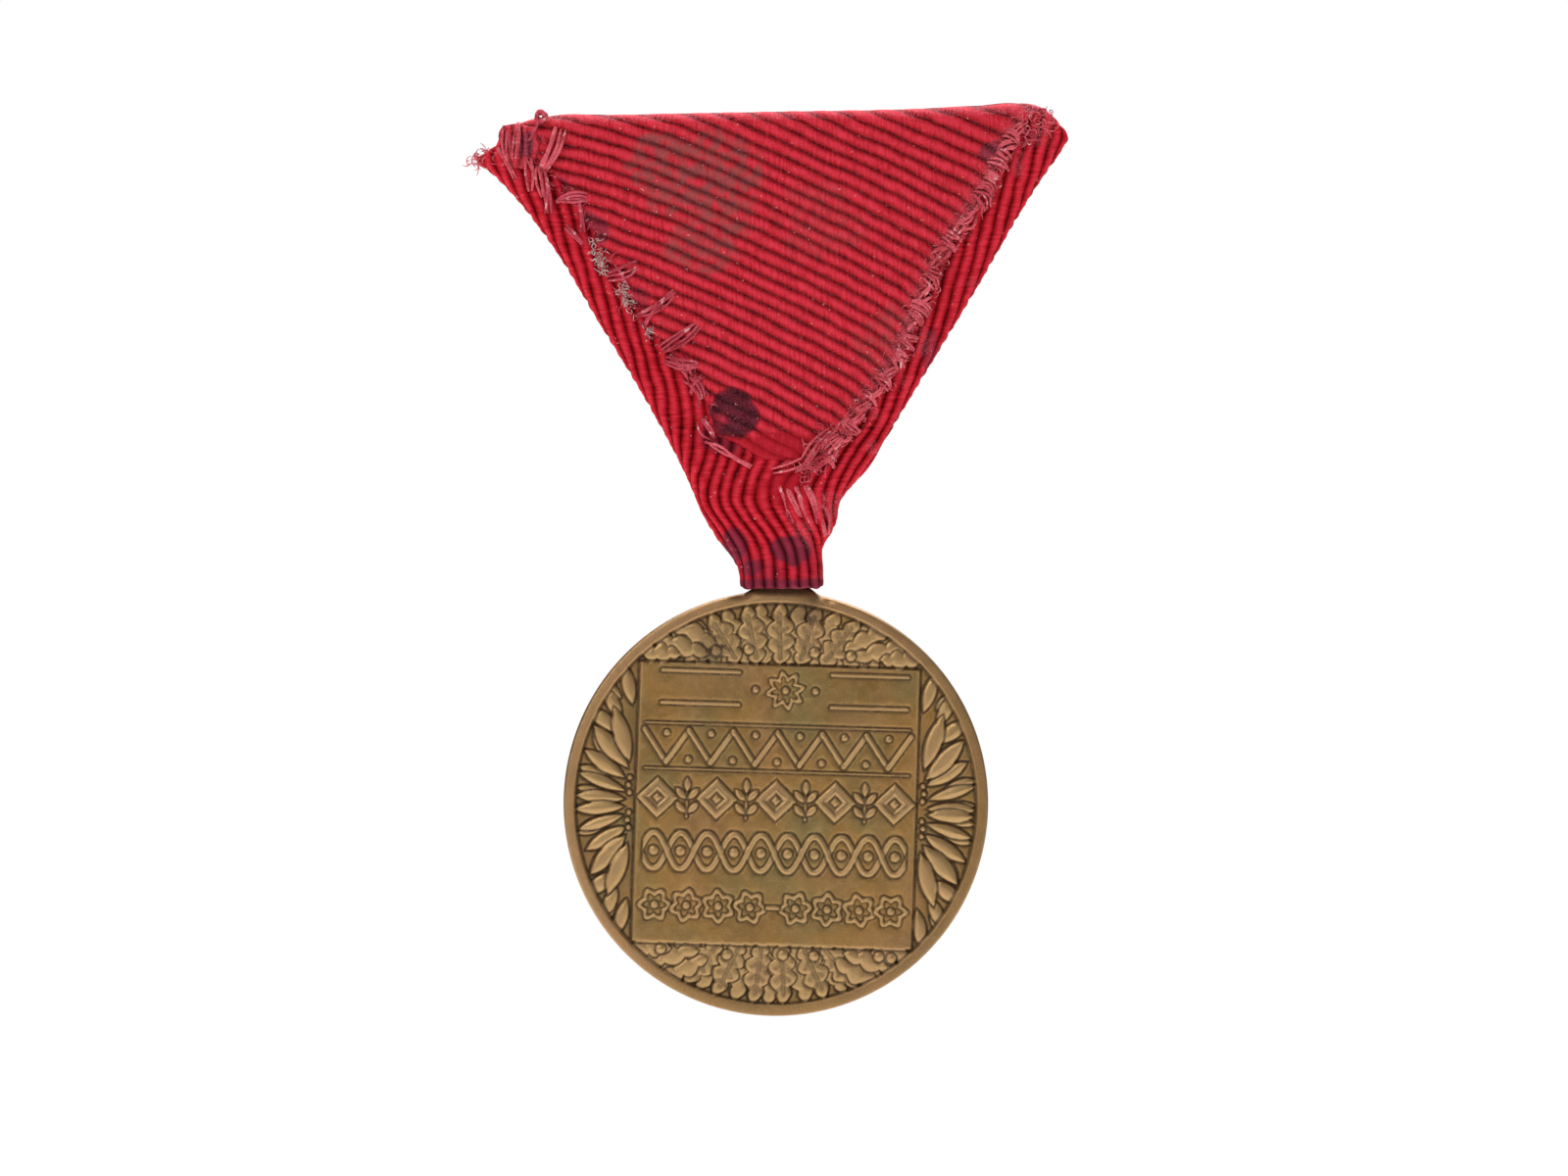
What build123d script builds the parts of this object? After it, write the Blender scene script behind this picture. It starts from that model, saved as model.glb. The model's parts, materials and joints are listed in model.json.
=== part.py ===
from build123d import *
import math
import os

# A struck bronze medal on a ribbed ribbon folded to a triangle. All lengths are millimetres.
# X runs to the right and Z up as seen from the chest side, and -Y points at the chest.
# The origin is the middle of the ribbon's top fold, on the face that touches the chest.

# Ribbon layers, counted from the chest outwards.
PANEL_T = 0.55            # back panel
TURNBACK_T = 0.5          # side edges folded over to the back
CARD_T = 0.3              # stiffening cloth inside the triangle
FRONT_T = 0.55            # front of the triangle
LAYER_GAP = 0.08          # air between sewn layers
SEAM_ALLOWANCE = 2.4      # how far a turned-back edge runs on under the back panel

# Medal.
DISC_R = 17.0
DISC_T = 2.2
RIM_W = 0.95
FIELD_DEPTH = 0.35        # how far the field lies below the rim
PLAQUE = 22.5             # side of the square panel on the reverse
LEAF_RISE = 0.22
PLAQUE_DROP = 0.14        # how far the plaque's face lies below the rim
ORNAMENT_RISE = 0.1       # how far its ornament stands above the plaque
STAR_RISE = 0.25          # the star on the obverse above its field
ROOTED = 0.1              # how deep raised work is rooted in what carries it
LEAN_DEG = 1.8            # the disc hangs a little out of true

# Suspension. The eye's bore runs along X and carries the ring.
EYE_R = 1.15
EYE_W = 1.5
EYE_BORE_R = 0.72
EYE_ABOVE_RIM = 1.3
LUG_W = 5.4
LUG_T = 1.6
LUG_RISE = 0.55
RING_WIRE_R = 0.45
RING_MEAN_R = 1.9
HANG_X = 0.22             # the ring hangs a touch right of the ribbon's middle
HANG_Y = 1.9              # middle of the medal's thickness
HANG_Z = -37.2            # axis of the eye's bore
BEND_Z = HANG_Z + 2 * RING_MEAN_R

# Gathered cloth round the ring.
NECK_HALF_T = 1.95
SLEEVE_CAVITY_HALF_T = 1.35
SLEEVE_CAVITY_HALF_W = 2.95
NECK_GAP_BELOW = 1.15     # from the bend axis down to the sleeve
NECK_GAP_ABOVE = 1.2      # from the bend axis up to the gathered neck
SLEEVE_BOTTOM_Z = HANG_Z - EYE_ABOVE_RIM + 0.4
BIGHT_INNER_R = 0.65
BIGHT_OUTER_R = 0.95
BIGHT_HALF_W = 0.7
TRIANGLE_END_Z = -29.0

THREAD_R = 0.12

PANEL_Y = 0.0
TURNBACK_Y = PANEL_Y + PANEL_T + LAYER_GAP
CARD_Y = TURNBACK_Y + TURNBACK_T + LAYER_GAP
FRONT_Y = CARD_Y + CARD_T + LAYER_GAP

# Outlines as (x, z) points.
TRIANGLE = [(-22.5, -1.2), (21.1, 0.2), (23.2, -2.2), (5.9, TRIANGLE_END_Z),
            (-7.6, TRIANGLE_END_Z), (-18.8, -9.9), (-21.7, -6.4), (-24.3, -4.1)]
LEFT_SEAM = [(-19.7, -3.6), (-10.1, -18.0), (-5.9, -23.4), (-5.9, -26.0)]
RIGHT_SEAM = [(19.8, -0.9), (13.7, -10.6), (9.6, -19.9), (3.5, -28.3)]
LOWER_EDGE = [(-5.9, -26.0), (-2.0, -28.0), (3.5, -28.3)]


def slab(points, y_near, thickness):
    """A flat piece with this outline, its near face at y_near."""
    outline = make_face(Polyline(*points, close=True))
    return extrude(Plane.XZ.offset(-y_near) * outline, amount=-thickness)


def box_between(low, high):
    """A block from its lowest to its highest corner."""
    size = [high[i] - low[i] for i in range(3)]
    middle = [(high[i] + low[i]) / 2 for i in range(3)]
    return Pos(*middle) * Box(*size)


def back_panel():
    """The panel sewn over the turned-back edges."""
    points = [(-20.4, -1.2), RIGHT_SEAM[0], *RIGHT_SEAM[1:], LOWER_EDGE[1], *reversed(LEFT_SEAM)]
    return slab(points, PANEL_Y, PANEL_T)


def left_turnback():
    """The left edge of the front ribbon, folded over and tapering to the neck."""
    inner = [(x + SEAM_ALLOWANCE, z) for x, z in LEFT_SEAM]
    edge = [(-7.6, TRIANGLE_END_Z), (-18.8, -9.9), (-21.7, -6.4), (-24.3, -4.1), (-22.5, -1.4)]
    points = [(-17.3, -1.4), *inner, (-3.6, TRIANGLE_END_Z), *edge]
    return slab(points, TURNBACK_Y, TURNBACK_T)


def right_turnback():
    """The right edge of the front ribbon, folded over and tapering to the neck."""
    inner = [(x - SEAM_ALLOWANCE, z) for x, z in RIGHT_SEAM]
    points = [*inner, (0.6, TRIANGLE_END_Z), (5.9, TRIANGLE_END_Z), (23.2, -2.2), (21.1, 0.0)]
    return slab(points, TURNBACK_Y, TURNBACK_T)


def stiffener():
    """Open-weave stiffening cloth inside the triangle, cut a little smaller than it."""
    return slab([(-19.5, -2.4), (19.0, -1.6), (4.0, -26.5), (-6.0, -26.5)], CARD_Y, CARD_T)


def top_fold():
    """The rolled fold along the top, where the front ribbon turns over to the back panel."""
    depth = FRONT_Y - PANEL_T - 2 * LAYER_GAP
    near = PANEL_T + LAYER_GAP
    points = [(-17.0, -1.1), (-17.0, -0.4), (17.0, 0.0), (17.0, -0.7)]
    return slab(points, near, depth)


def front_ribbon():
    """The face of the triangle that is seen when the medal is worn."""
    return slab(TRIANGLE, FRONT_Y, FRONT_T)


def neck_gather():
    """The gathered lower corner of the triangle, down to just above the ring."""
    front_face = FRONT_Y + FRONT_T
    upper = Plane.XY.offset(TRIANGLE_END_Z - 0.05) * Pos(-0.85, front_face / 2) * Rectangle(13.2, front_face)
    lower = Plane.XY.offset(BEND_Z + NECK_GAP_ABOVE) * Pos(-0.8, HANG_Y) * Rectangle(10.6, 2 * NECK_HALF_T)
    return loft([upper, lower])


def ring_bight():
    """The tight loop of ribbon that passes through the ring and carries it."""
    side = Plane.YZ.offset(-BIGHT_HALF_W)
    outer = Circle(BIGHT_OUTER_R) + Pos(0, NECK_GAP_ABOVE / 2) * Rectangle(2 * BIGHT_OUTER_R, NECK_GAP_ABOVE)
    inner = Circle(BIGHT_INNER_R) + Pos(0, NECK_GAP_ABOVE / 2) * Rectangle(2 * BIGHT_INNER_R, NECK_GAP_ABOVE)
    loop = extrude(side * (outer - inner), amount=2 * BIGHT_HALF_W)
    return Pos(HANG_X, HANG_Y, BEND_Z) * loop


def neck_sleeve():
    """The gathered cloth that hides the ring, open below over the medal's eye."""
    top_z = BEND_Z - NECK_GAP_BELOW
    points = [(-4.5, top_z), (3.8, top_z), (3.65, SLEEVE_BOTTOM_Z), (-3.3, SLEEVE_BOTTOM_Z)]
    sleeve = slab(points, HANG_Y - NECK_HALF_T, 2 * NECK_HALF_T)
    cavity = box_between(
        (HANG_X - SLEEVE_CAVITY_HALF_W, HANG_Y - SLEEVE_CAVITY_HALF_T, SLEEVE_BOTTOM_Z - 1),
        (HANG_X + SLEEVE_CAVITY_HALF_W, HANG_Y + SLEEVE_CAVITY_HALF_T, top_z + 1))
    return sleeve - cavity


def suspension_ring():
    """The round wire ring between the ribbon and the medal's eye."""
    ring = Rot(90, 0, 0) * Torus(RING_MEAN_R, RING_WIRE_R)
    return Pos(HANG_X, HANG_Y, HANG_Z + RING_MEAN_R) * ring


def leaf(root, tip, half_width):
    """A pointed leaf outline between two points."""
    along = (tip[0] - root[0], tip[1] - root[1])
    length = math.hypot(*along)
    across = (-along[1] / length * half_width, along[0] / length * half_width)
    middle = ((root[0] + tip[0]) / 2, (root[1] + tip[1]) / 2)
    left = (middle[0] + across[0], middle[1] + across[1])
    right = (middle[0] - across[0], middle[1] - across[1])
    return make_face([ThreePointArc(root, left, tip), ThreePointArc(tip, right, root)])


def reach_to_circle(start, direction, radius):
    """How far a line from start runs before it meets a circle round the disc's centre."""
    along = start[0] * direction[0] + start[1] * direction[1]
    return -along + math.sqrt(along ** 2 - start[0] ** 2 - start[1] ** 2 + radius ** 2)


def leaf_fan(side_deg, count, spread_deg):
    """Leaves that spread from the middle of one side of the plaque out to the rim."""
    side = math.radians(side_deg)
    start = ((PLAQUE / 2 + 0.1) * math.cos(side), (PLAQUE / 2 + 0.1) * math.sin(side))
    outlines = []
    for i in range(count):
        turn = side + math.radians(spread_deg) * (i / (count - 1) - 0.5)
        direction = (math.cos(turn), math.sin(turn))
        reach = reach_to_circle(start, direction, DISC_R - RIM_W - 0.25)
        root = (start[0] + 0.25 * reach * direction[0], start[1] + 0.25 * reach * direction[1])
        tip = (start[0] + reach * direction[0], start[1] + reach * direction[1])
        outlines.append(leaf(root, tip, min(0.62, 0.14 * reach)))
    return outlines


def star(outer_r, inner_r, points):
    """A plain star outline."""
    corners = []
    for i in range(2 * points):
        r = inner_r if i % 2 else outer_r
        turn = math.pi * i / points
        corners.append((r * math.sin(turn), r * math.cos(turn)))
    return make_face(Polyline(*corners, close=True))


def raised(outline, y, rise):
    """A pad of this outline that stands towards the chest from the face at this y."""
    return extrude(Plane.XZ.offset(-y - ROOTED) * outline, amount=rise + ROOTED)


def disc_relief():
    """The struck relief of both faces, as raised pads, round the disc's own centre."""
    pads = []
    for side_deg, count in ((0, 9), (180, 9), (90, 7), (270, 7)):
        for outline in leaf_fan(side_deg, count, 150):
            pads.append(raised(outline, -DISC_T / 2 + FIELD_DEPTH, LEAF_RISE))
    for bar_x in (-7.0, 7.0):
        for bar_z in (8.1, 10.2):
            bar = Pos(bar_x, bar_z) * Rectangle(6.0, 0.3)
            pads.append(raised(bar, -DISC_T / 2 + PLAQUE_DROP, ORNAMENT_RISE))
    for row in range(4):
        for column in range(7):
            lozenge = Pos(3.0 * (column - 3), 4.4 - 4.3 * row) * Rot(0, 0, 45) * Rectangle(1.5, 1.5)
            pads.append(raised(lozenge, -DISC_T / 2 + PLAQUE_DROP, ORNAMENT_RISE))
    star_base = Plane.XZ.offset(-DISC_T / 2 + FIELD_DEPTH + ROOTED)
    pads.append(extrude(star_base * star(9.0, 4.2, 8), amount=-STAR_RISE - ROOTED))
    return pads


def medal():
    """The struck disc with its eye: one piece of metal, hung by the bore of the eye."""
    centre = Pos(0, 0, -DISC_R - EYE_ABOVE_RIM)
    disc = Rot(90, 0, 0) * Cylinder(DISC_R, DISC_T)
    disc = fillet(disc.edges().filter_by(GeomType.CIRCLE), 0.12)
    field_r = DISC_R - RIM_W
    recess = Rot(90, 0, 0) * Cylinder(field_r, FIELD_DEPTH)
    plaque_rise = Box(PLAQUE, FIELD_DEPTH, PLAQUE)
    disc -= Pos(0, (DISC_T - FIELD_DEPTH) / 2, 0) * recess
    disc -= Pos(0, -(DISC_T - FIELD_DEPTH) / 2, 0) * (recess - plaque_rise)
    plaque_skim = Pos(0, -(DISC_T - PLAQUE_DROP) / 2, 0) * Rot(90, 0, 0) * Cylinder(field_r, PLAQUE_DROP)
    disc -= plaque_skim
    for pad in disc_relief():
        disc += pad
    lug = box_between((-LUG_W / 2, -LUG_T / 2, -EYE_ABOVE_RIM - 0.8),
                      (LUG_W / 2, LUG_T / 2, -EYE_ABOVE_RIM + LUG_RISE))
    eye = Rot(0, 90, 0) * Cylinder(EYE_R, EYE_W)
    bore = Rot(0, 90, 0) * Cylinder(EYE_BORE_R, EYE_W + 2)
    hanging = centre * disc + lug + eye - bore
    return Pos(HANG_X, HANG_Y, HANG_Z) * Rot(0, LEAN_DEG, 0) * hanging


def point_along(path, share):
    """The point at this share of a polyline's length, and the unit direction there."""
    lengths = [math.dist(a, b) for a, b in zip(path, path[1:])]
    left = share * sum(lengths)
    for (a, b), length in zip(zip(path, path[1:]), lengths):
        if left <= length:
            break
        left -= length
    unit = ((b[0] - a[0]) / length, (b[1] - a[1]) / length)
    return (a[0] + unit[0] * left, a[1] + unit[1] * left), unit


def thread(start, end, y):
    """One straight stitch between two (x, z) points, its middle at this y."""
    a = Vector(start[0], y, start[1])
    b = Vector(end[0], y, end[1])
    return Pos(*((a + b) * 0.5)) * Plane(origin=(0, 0, 0), z_dir=b - a).location * Cylinder(THREAD_R, (b - a).length)


def whip_stitches(path, count, reach, slant, y=-THREAD_R - 0.02):
    """Slanted stitches over a seam, evenly spaced along it."""
    stitches = []
    for i in range(count):
        (x, z), (ux, uz) = point_along(path, (i + 0.5) / count)
        nx, nz = -uz, ux
        start = (x - nx * reach - ux * slant, z - nz * reach - uz * slant)
        end = (x + nx * reach + ux * slant, z + nz * reach + uz * slant)
        stitches.append(thread(start, end, y))
    return Compound(children=stitches)


def corner_knot():
    """The knot that ends the sewing thread at the top left corner."""
    return Pos(-19.1, -0.22, -0.6) * Rot(90, 0, 0) * Torus(0.4, 0.2)


os.makedirs("parts", exist_ok=True)
nodes = {
    "back_panel": back_panel(),
    "left_turnback": left_turnback(),
    "right_turnback": right_turnback(),
    "stiffener": stiffener(),
    "top_fold": top_fold(),
    "front_ribbon": front_ribbon(),
    "neck_gather": neck_gather(),
    "ring_bight": ring_bight(),
    "neck_sleeve": neck_sleeve(),
    "suspension_ring": suspension_ring(),
    "medal": medal(),
    "left_seam_stitches": whip_stitches(LEFT_SEAM, 16, 0.85, 0.35),
    "right_seam_stitches": whip_stitches(RIGHT_SEAM, 36, 0.75, 0.3),
    "lower_edge_stitches": whip_stitches(LOWER_EDGE, 8, 0.8, 0.25),
    "neck_tack_stitches": whip_stitches([(0.6, -29.3), (3.6, -31.8)], 5, 0.8, 0.3, y=-0.2),
    "corner_stitches": whip_stitches([(-22.2, -2.2), (-20.6, -5.2)], 4, 0.7, 0.25),
    "corner_knot": corner_knot(),
}
for name, shape in nodes.items():
    export_step(shape, f"parts/{name}.step")
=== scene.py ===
"""The looks of a struck bronze medal on a hand-sewn, three-cornered ribbon.

Every size below is in millimetres unless its name says otherwise. X runs to the right and Z up on
the sewn side, which faces -Y. The ribbon is cloth with raised weft ribs, the medal is struck
tombac with a brown patina, and both are built as meshes from formulas.
"""

import json
import logging
import math
from dataclasses import dataclass, field
from enum import Enum
from typing import Callable

import bpy
import numpy as np
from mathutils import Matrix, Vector


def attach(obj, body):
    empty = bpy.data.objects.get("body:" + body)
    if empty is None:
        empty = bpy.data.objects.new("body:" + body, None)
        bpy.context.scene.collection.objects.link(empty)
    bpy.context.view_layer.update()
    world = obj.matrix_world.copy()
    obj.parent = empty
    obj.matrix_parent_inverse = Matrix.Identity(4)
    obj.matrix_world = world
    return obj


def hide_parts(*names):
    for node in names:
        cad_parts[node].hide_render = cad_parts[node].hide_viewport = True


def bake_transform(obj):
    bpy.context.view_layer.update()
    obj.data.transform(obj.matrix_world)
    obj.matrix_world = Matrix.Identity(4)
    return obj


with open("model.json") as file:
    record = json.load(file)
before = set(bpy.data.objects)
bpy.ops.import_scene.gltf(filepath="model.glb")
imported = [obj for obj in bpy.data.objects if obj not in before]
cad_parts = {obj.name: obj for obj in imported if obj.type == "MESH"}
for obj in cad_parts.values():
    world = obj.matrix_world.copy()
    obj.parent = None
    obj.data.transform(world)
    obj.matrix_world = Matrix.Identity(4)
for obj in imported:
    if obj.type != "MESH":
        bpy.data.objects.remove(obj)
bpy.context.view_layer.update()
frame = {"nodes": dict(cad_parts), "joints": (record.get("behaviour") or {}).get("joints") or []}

MM = 0.001
TURN = 2 * math.pi
Array = np.ndarray
Pair = tuple[float, float]
Triple = tuple[float, float, float]
Material = bpy.types.Material
Piece = bpy.types.Object
Socket = bpy.types.NodeSocket
log = logging.getLogger("medal")


# -------- shared sums


def ease(low: float, high: float, value: Array) -> Array:
    """A smooth step from 0 at low to 1 at high, where high may lie below low."""
    share = np.clip((value - low) / (high - low), 0.0, 1.0)
    return share * share * (3.0 - 2.0 * share)


def lumps(x: Array, z: Array, size: float, seed: int) -> Array:
    """Smooth random unevenness over a plane.

    Args:
        x: Places along X.
        z: Places along Z.
        size: Distance between neighbouring lumps.
        seed: Which unevenness.

    Returns:
        Values from -1 to 1.
    """
    table = np.random.default_rng(seed).uniform(-1.0, 1.0, (64, 64))
    u = np.asarray(x) / size + 101.3
    v = np.asarray(z) / size + 207.7
    i = np.floor(u).astype(int)
    j = np.floor(v).astype(int)
    fu = ease(0.0, 1.0, u - i)
    fv = ease(0.0, 1.0, v - j)
    i0, i1, j0, j1 = i % 64, (i + 1) % 64, j % 64, (j + 1) % 64
    near = table[i0, j0] * (1 - fu) + table[i1, j0] * fu
    far = table[i0, j1] * (1 - fu) + table[i1, j1] * fu
    return near * (1 - fv) + far * fv


def roll(distance: Array, radius: float) -> Array:
    """How far an edge of this radius has fallen back at a distance inwards from it."""
    inward = 1.0 - np.clip(distance / radius, 0.0, 1.0)
    return radius * (1.0 - np.sqrt(np.clip(1.0 - inward * inward, 0.0, 1.0)))


@dataclass(frozen=True)
class Blot:
    """A soft-edged, uneven blot.

    Attributes:
        centre: Its middle.
        size: Its half width and half height.
        seed: Which uneven outline.
        strength: Its value inside.
    """

    centre: Pair
    size: Pair
    seed: int
    strength: float = 1.0

    def at(self, x: Array, z: Array) -> Array:
        """Reads the blot.

        Args:
            x: Places along X.
            z: Places along Z.

        Returns:
            Its strength inside, 0 outside.
        """
        reach = np.hypot((x - self.centre[0]) / self.size[0], (z - self.centre[1]) / self.size[1])
        reach = reach + 0.35 * lumps(x, z, 1.7, self.seed) + 0.15 * lumps(x, z, 0.6, self.seed + 1)
        return self.strength * ease(1.15, 0.75, reach)


def blots(several: tuple[Blot, ...], x: Array, z: Array) -> Array:
    """Several blots added up."""
    return sum(one.at(x, z) for one in several)


@dataclass(frozen=True)
class Bend:
    """A smooth line through a few given points, read as one value over another.

    Attributes:
        points: (place, value) pairs with rising or falling places.
    """

    points: tuple[Pair, ...]

    def at(self, place: Array) -> Array:
        """Reads the line.

        Args:
            place: Where to read it.

        Returns:
            The values there, held level past both ends.
        """
        knots = np.array(sorted(self.points))
        t, v = knots[:, 0], knots[:, 1]
        slope = np.gradient(v, t)
        place = np.clip(np.asarray(place, float), t[0], t[-1])
        i = np.clip(np.searchsorted(t, place) - 1, 0, len(t) - 2)
        span = t[i + 1] - t[i]
        s = (place - t[i]) / span
        a = (1 + 2 * s) * (1 - s) ** 2 * v[i] + s * (1 - s) ** 2 * span * slope[i]
        b = s * s * (3 - 2 * s) * v[i + 1] + s * s * (s - 1) * span * slope[i + 1]
        return a + b

    def area(self, place: Array) -> Array:
        """Adds up the line from its first place, for a line that holds slopes.

        Args:
            place: How far to add.

        Returns:
            The sums.
        """
        places = [p for p, _ in self.points]
        table = np.linspace(min(places), max(places), 600)
        values = self.at(table)
        sums = np.concatenate([[0.0], np.cumsum((values[1:] + values[:-1]) / 2 * np.diff(table))])
        return np.interp(place, table, sums)


# -------- meshes


@dataclass
class Shell:
    """One closed surface before it becomes a mesh.

    Attributes:
        points: Its points, one row each.
        faces: Arrays of corner numbers, three or four to a face.
        marks: Named values, one to a point, that the finishes read.
        weave: Two cloth coordinates to a point, along a rib and across the ribs.
    """

    points: Array
    faces: list[Array]
    marks: dict[str, Array] = field(default_factory=dict)
    weave: Array | None = None

    def build(self, name: str, finish: Material) -> Piece:
        """Makes the mesh and its object.

        Args:
            name: The piece's name.
            finish: Its material.

        Returns:
            The new object, linked to the scene.
        """
        mesh = bpy.data.meshes.new(name)
        corners = np.concatenate([f.ravel() for f in self.faces]).astype(np.int32)
        counts = np.concatenate([np.full(len(f), f.shape[1]) for f in self.faces])
        mesh.vertices.add(len(self.points))
        mesh.vertices.foreach_set("co", (self.points * MM).astype(np.float32).ravel())
        mesh.loops.add(len(corners))
        mesh.loops.foreach_set("vertex_index", corners)
        mesh.polygons.add(len(counts))
        starts = np.concatenate([[0], np.cumsum(counts)[:-1]]).astype(np.int32)
        mesh.polygons.foreach_set("loop_start", starts)
        mesh.update(calc_edges=True)
        mesh.validate()
        mesh.shade_smooth()
        for key, values in self.marks.items():
            mark = mesh.attributes.new(key, "FLOAT", "POINT")
            mark.data.foreach_set("value", np.asarray(values, np.float32).ravel())
        if self.weave is not None:
            layer = mesh.uv_layers.new(name="weave")
            layer.data.foreach_set("uv", self.weave[corners].astype(np.float32).ravel())
        mesh.materials.append(finish)
        piece = bpy.data.objects.new(name, mesh)
        bpy.context.scene.collection.objects.link(piece)
        log.info("%s: %d points", name, len(self.points))
        return piece


def grid_faces(rows: int, columns: int, first: int = 0, wrap: bool = False, flip: bool = False) -> Array:
    """Four-cornered faces over a grid of points.

    Args:
        rows: Rows of points.
        columns: Points in a row.
        first: Number of the grid's first point.
        wrap: Whether each row closes on itself.
        flip: Whether the faces look the other way.

    Returns:
        One row of four corner numbers to a face.
    """
    numbers = np.arange(rows * columns).reshape(rows, columns) + first
    if wrap:
        numbers = np.concatenate([numbers, numbers[:, :1]], axis=1)
    corners = [numbers[:-1, :-1], numbers[1:, :-1], numbers[1:, 1:], numbers[:-1, 1:]]
    if flip:
        corners.reverse()
    return np.stack(corners, axis=-1).reshape(-1, 4)


def fan_faces(hub: int, first: int, count: int, flip: bool = False) -> Array:
    """Three-cornered faces from one point to a closed ring of points.

    Args:
        hub: Number of the point in the middle.
        first: Number of the ring's first point.
        count: Points in the ring.
        flip: Whether the faces look the other way.

    Returns:
        One row of three corner numbers to a face.
    """
    ring = first + np.arange(count)
    after = np.roll(ring, -1)
    return np.stack([np.full(count, hub), *((after, ring) if flip else (ring, after))], axis=1)


def rim_of(rows: int, columns: int) -> Array:
    """The numbers of a grid's outer points, in order round it."""
    n = np.arange(rows * columns).reshape(rows, columns)
    return np.concatenate([n[0, :-1], n[:-1, -1], n[-1, :0:-1], n[:0:-1, 0]])


def normals_of(surface: Array) -> Array:
    """Unit directions out of a grid surface on its -Y side.

    Args:
        surface: Points as rows by columns by 3.

    Returns:
        One direction to a point.
    """
    down = np.gradient(surface, axis=0)
    across = np.gradient(surface, axis=1)
    out = np.cross(down, across)
    return out / np.maximum(np.linalg.norm(out, axis=2, keepdims=True), 1e-9)


COARSE = 4  # how many steps of a sheet's outer surface make one of its inner surface


def doubled(outer: Array, inner: Array, marks: dict[str, Array], weave: Array) -> Shell:
    """A closed sheet from its outer and inner surface, the inner one with fewer points.

    Args:
        outer: Outer points as rows by columns by 3, each one more than a multiple of COARSE.
        inner: Inner points in the same grid.
        marks: Named values on the outer grid.
        weave: Cloth coordinates on the outer grid.

    Returns:
        The closed shell.
    """
    rows, columns = outer.shape[:2]
    lining = inner[::COARSE, ::COARSE]
    count = rows * columns
    rim = rim_of(rows, columns)
    thin = rim_of(*lining.shape[:2]) + count
    runs = [np.roll(rim, -k)[::COARSE] for k in range(COARSE + 1)]
    side = np.stack([*runs, np.roll(thin, -1), thin], axis=1)
    faces = [grid_faces(rows, columns), grid_faces(*lining.shape[:2], count, flip=True), side]
    points = np.concatenate([outer.reshape(-1, 3), lining.reshape(-1, 3)])
    both = {key: np.concatenate([v.ravel(), v[::COARSE, ::COARSE].ravel()]) for key, v in marks.items()}
    flat = [weave.reshape(-1, 2), weave[::COARSE, ::COARSE].reshape(-1, 2)]
    return Shell(points, faces, both, np.concatenate(flat))


def joined(shells: list[Shell]) -> Shell:
    """Several shells as one.

    Args:
        shells: What to join. All have the same marks.

    Returns:
        The joined shell.
    """
    starts = np.cumsum([0] + [len(s.points) for s in shells])
    faces = [f + start for s, start in zip(shells, starts) for f in s.faces]
    marks = {key: np.concatenate([s.marks[key] for s in shells]) for key in shells[0].marks}
    weave = None if shells[0].weave is None else np.concatenate([s.weave for s in shells])
    return Shell(np.concatenate([s.points for s in shells]), faces, marks, weave)


def tube(line: Array, radius: Array, sides: int, plies: int = 0, turns: float = 0.0) -> Shell:
    """A closed tube along a line, plain or twisted from plies.

    Args:
        line: Points down its middle.
        radius: Its radius at each of them.
        sides: Points round it.
        plies: Strands that show on its surface, or 0 for a plain tube.
        turns: How often the plies go round.

    Returns:
        The tube with rounded ends.
    """
    ahead = np.gradient(line, axis=0)
    ahead /= np.maximum(np.linalg.norm(ahead, axis=1, keepdims=True), 1e-9)
    fixed = np.array([0.0, 1.0, 0.0]) if abs(ahead[:, 1]).mean() < 0.8 else np.array([1.0, 0.0, 0.0])
    side = np.cross(ahead, fixed)
    side /= np.maximum(np.linalg.norm(side, axis=1, keepdims=True), 1e-9)
    up = np.cross(side, ahead)
    turn = np.linspace(0.0, TURN, sides, endpoint=False)
    run = np.linspace(0.0, 1.0, len(line))
    size = np.asarray(radius)[:, None] * np.ones(sides)
    if plies:
        twist = turn + TURN * turns * run[:, None]
        size = size * (0.72 + 0.28 * np.abs(np.cos(plies / 2 * twist)))
    ring = np.cos(turn)[None, :, None] * side[:, None, :] + np.sin(turn)[None, :, None] * up[:, None, :]
    points = line[:, None, :] + ring * size[:, :, None]
    count = len(line) * sides
    tips = np.stack([line[0] - ahead[0] * radius[0] * 0.6, line[-1] + ahead[-1] * radius[-1] * 0.6])
    start, end = fan_faces(count, 0, sides), fan_faces(count + 1, count - sides, sides, flip=True)
    faces = [grid_faces(len(line), sides, wrap=True), start, end]
    along = np.repeat(np.linspace(0, 1, len(line)), sides)
    marks = {"along": np.concatenate([along, [0.0, 1.0]])}
    return Shell(np.concatenate([points.reshape(-1, 3), tips]), faces, marks)


# -------- finishes


def linear(code: str) -> tuple[float, float, float, float]:
    """An sRGB hex colour such as "#a02030" as linear red, green, blue and a full alpha."""
    parts = [int(code[i:i + 2], 16) / 255 for i in (1, 3, 5)]
    return (*[p / 12.92 if p <= 0.04045 else ((p + 0.055) / 1.055) ** 2.4 for p in parts], 1.0)


def add(tree: bpy.types.NodeTree, kind: str, settings: dict | None = None,
        **inputs: object) -> bpy.types.Node:
    """Adds a node with its settings and links.

    Args:
        tree: Where it goes.
        kind: The node's type, without "ShaderNode".
        settings: Property values by name.
        **inputs: Input sockets by name, or by i and number, as a value or a socket to link.

    Returns:
        The new node.
    """
    node = tree.nodes.new("ShaderNode" + kind)
    for key, value in (settings or {}).items():
        setattr(node, key, value)
    for key, value in inputs.items():
        socket = node.inputs[int(key[1:]) if key[1:].isdigit() else key.replace("_", " ")]
        if isinstance(value, Socket):
            tree.links.new(value, socket)
        else:
            socket.default_value = value
    return node


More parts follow.
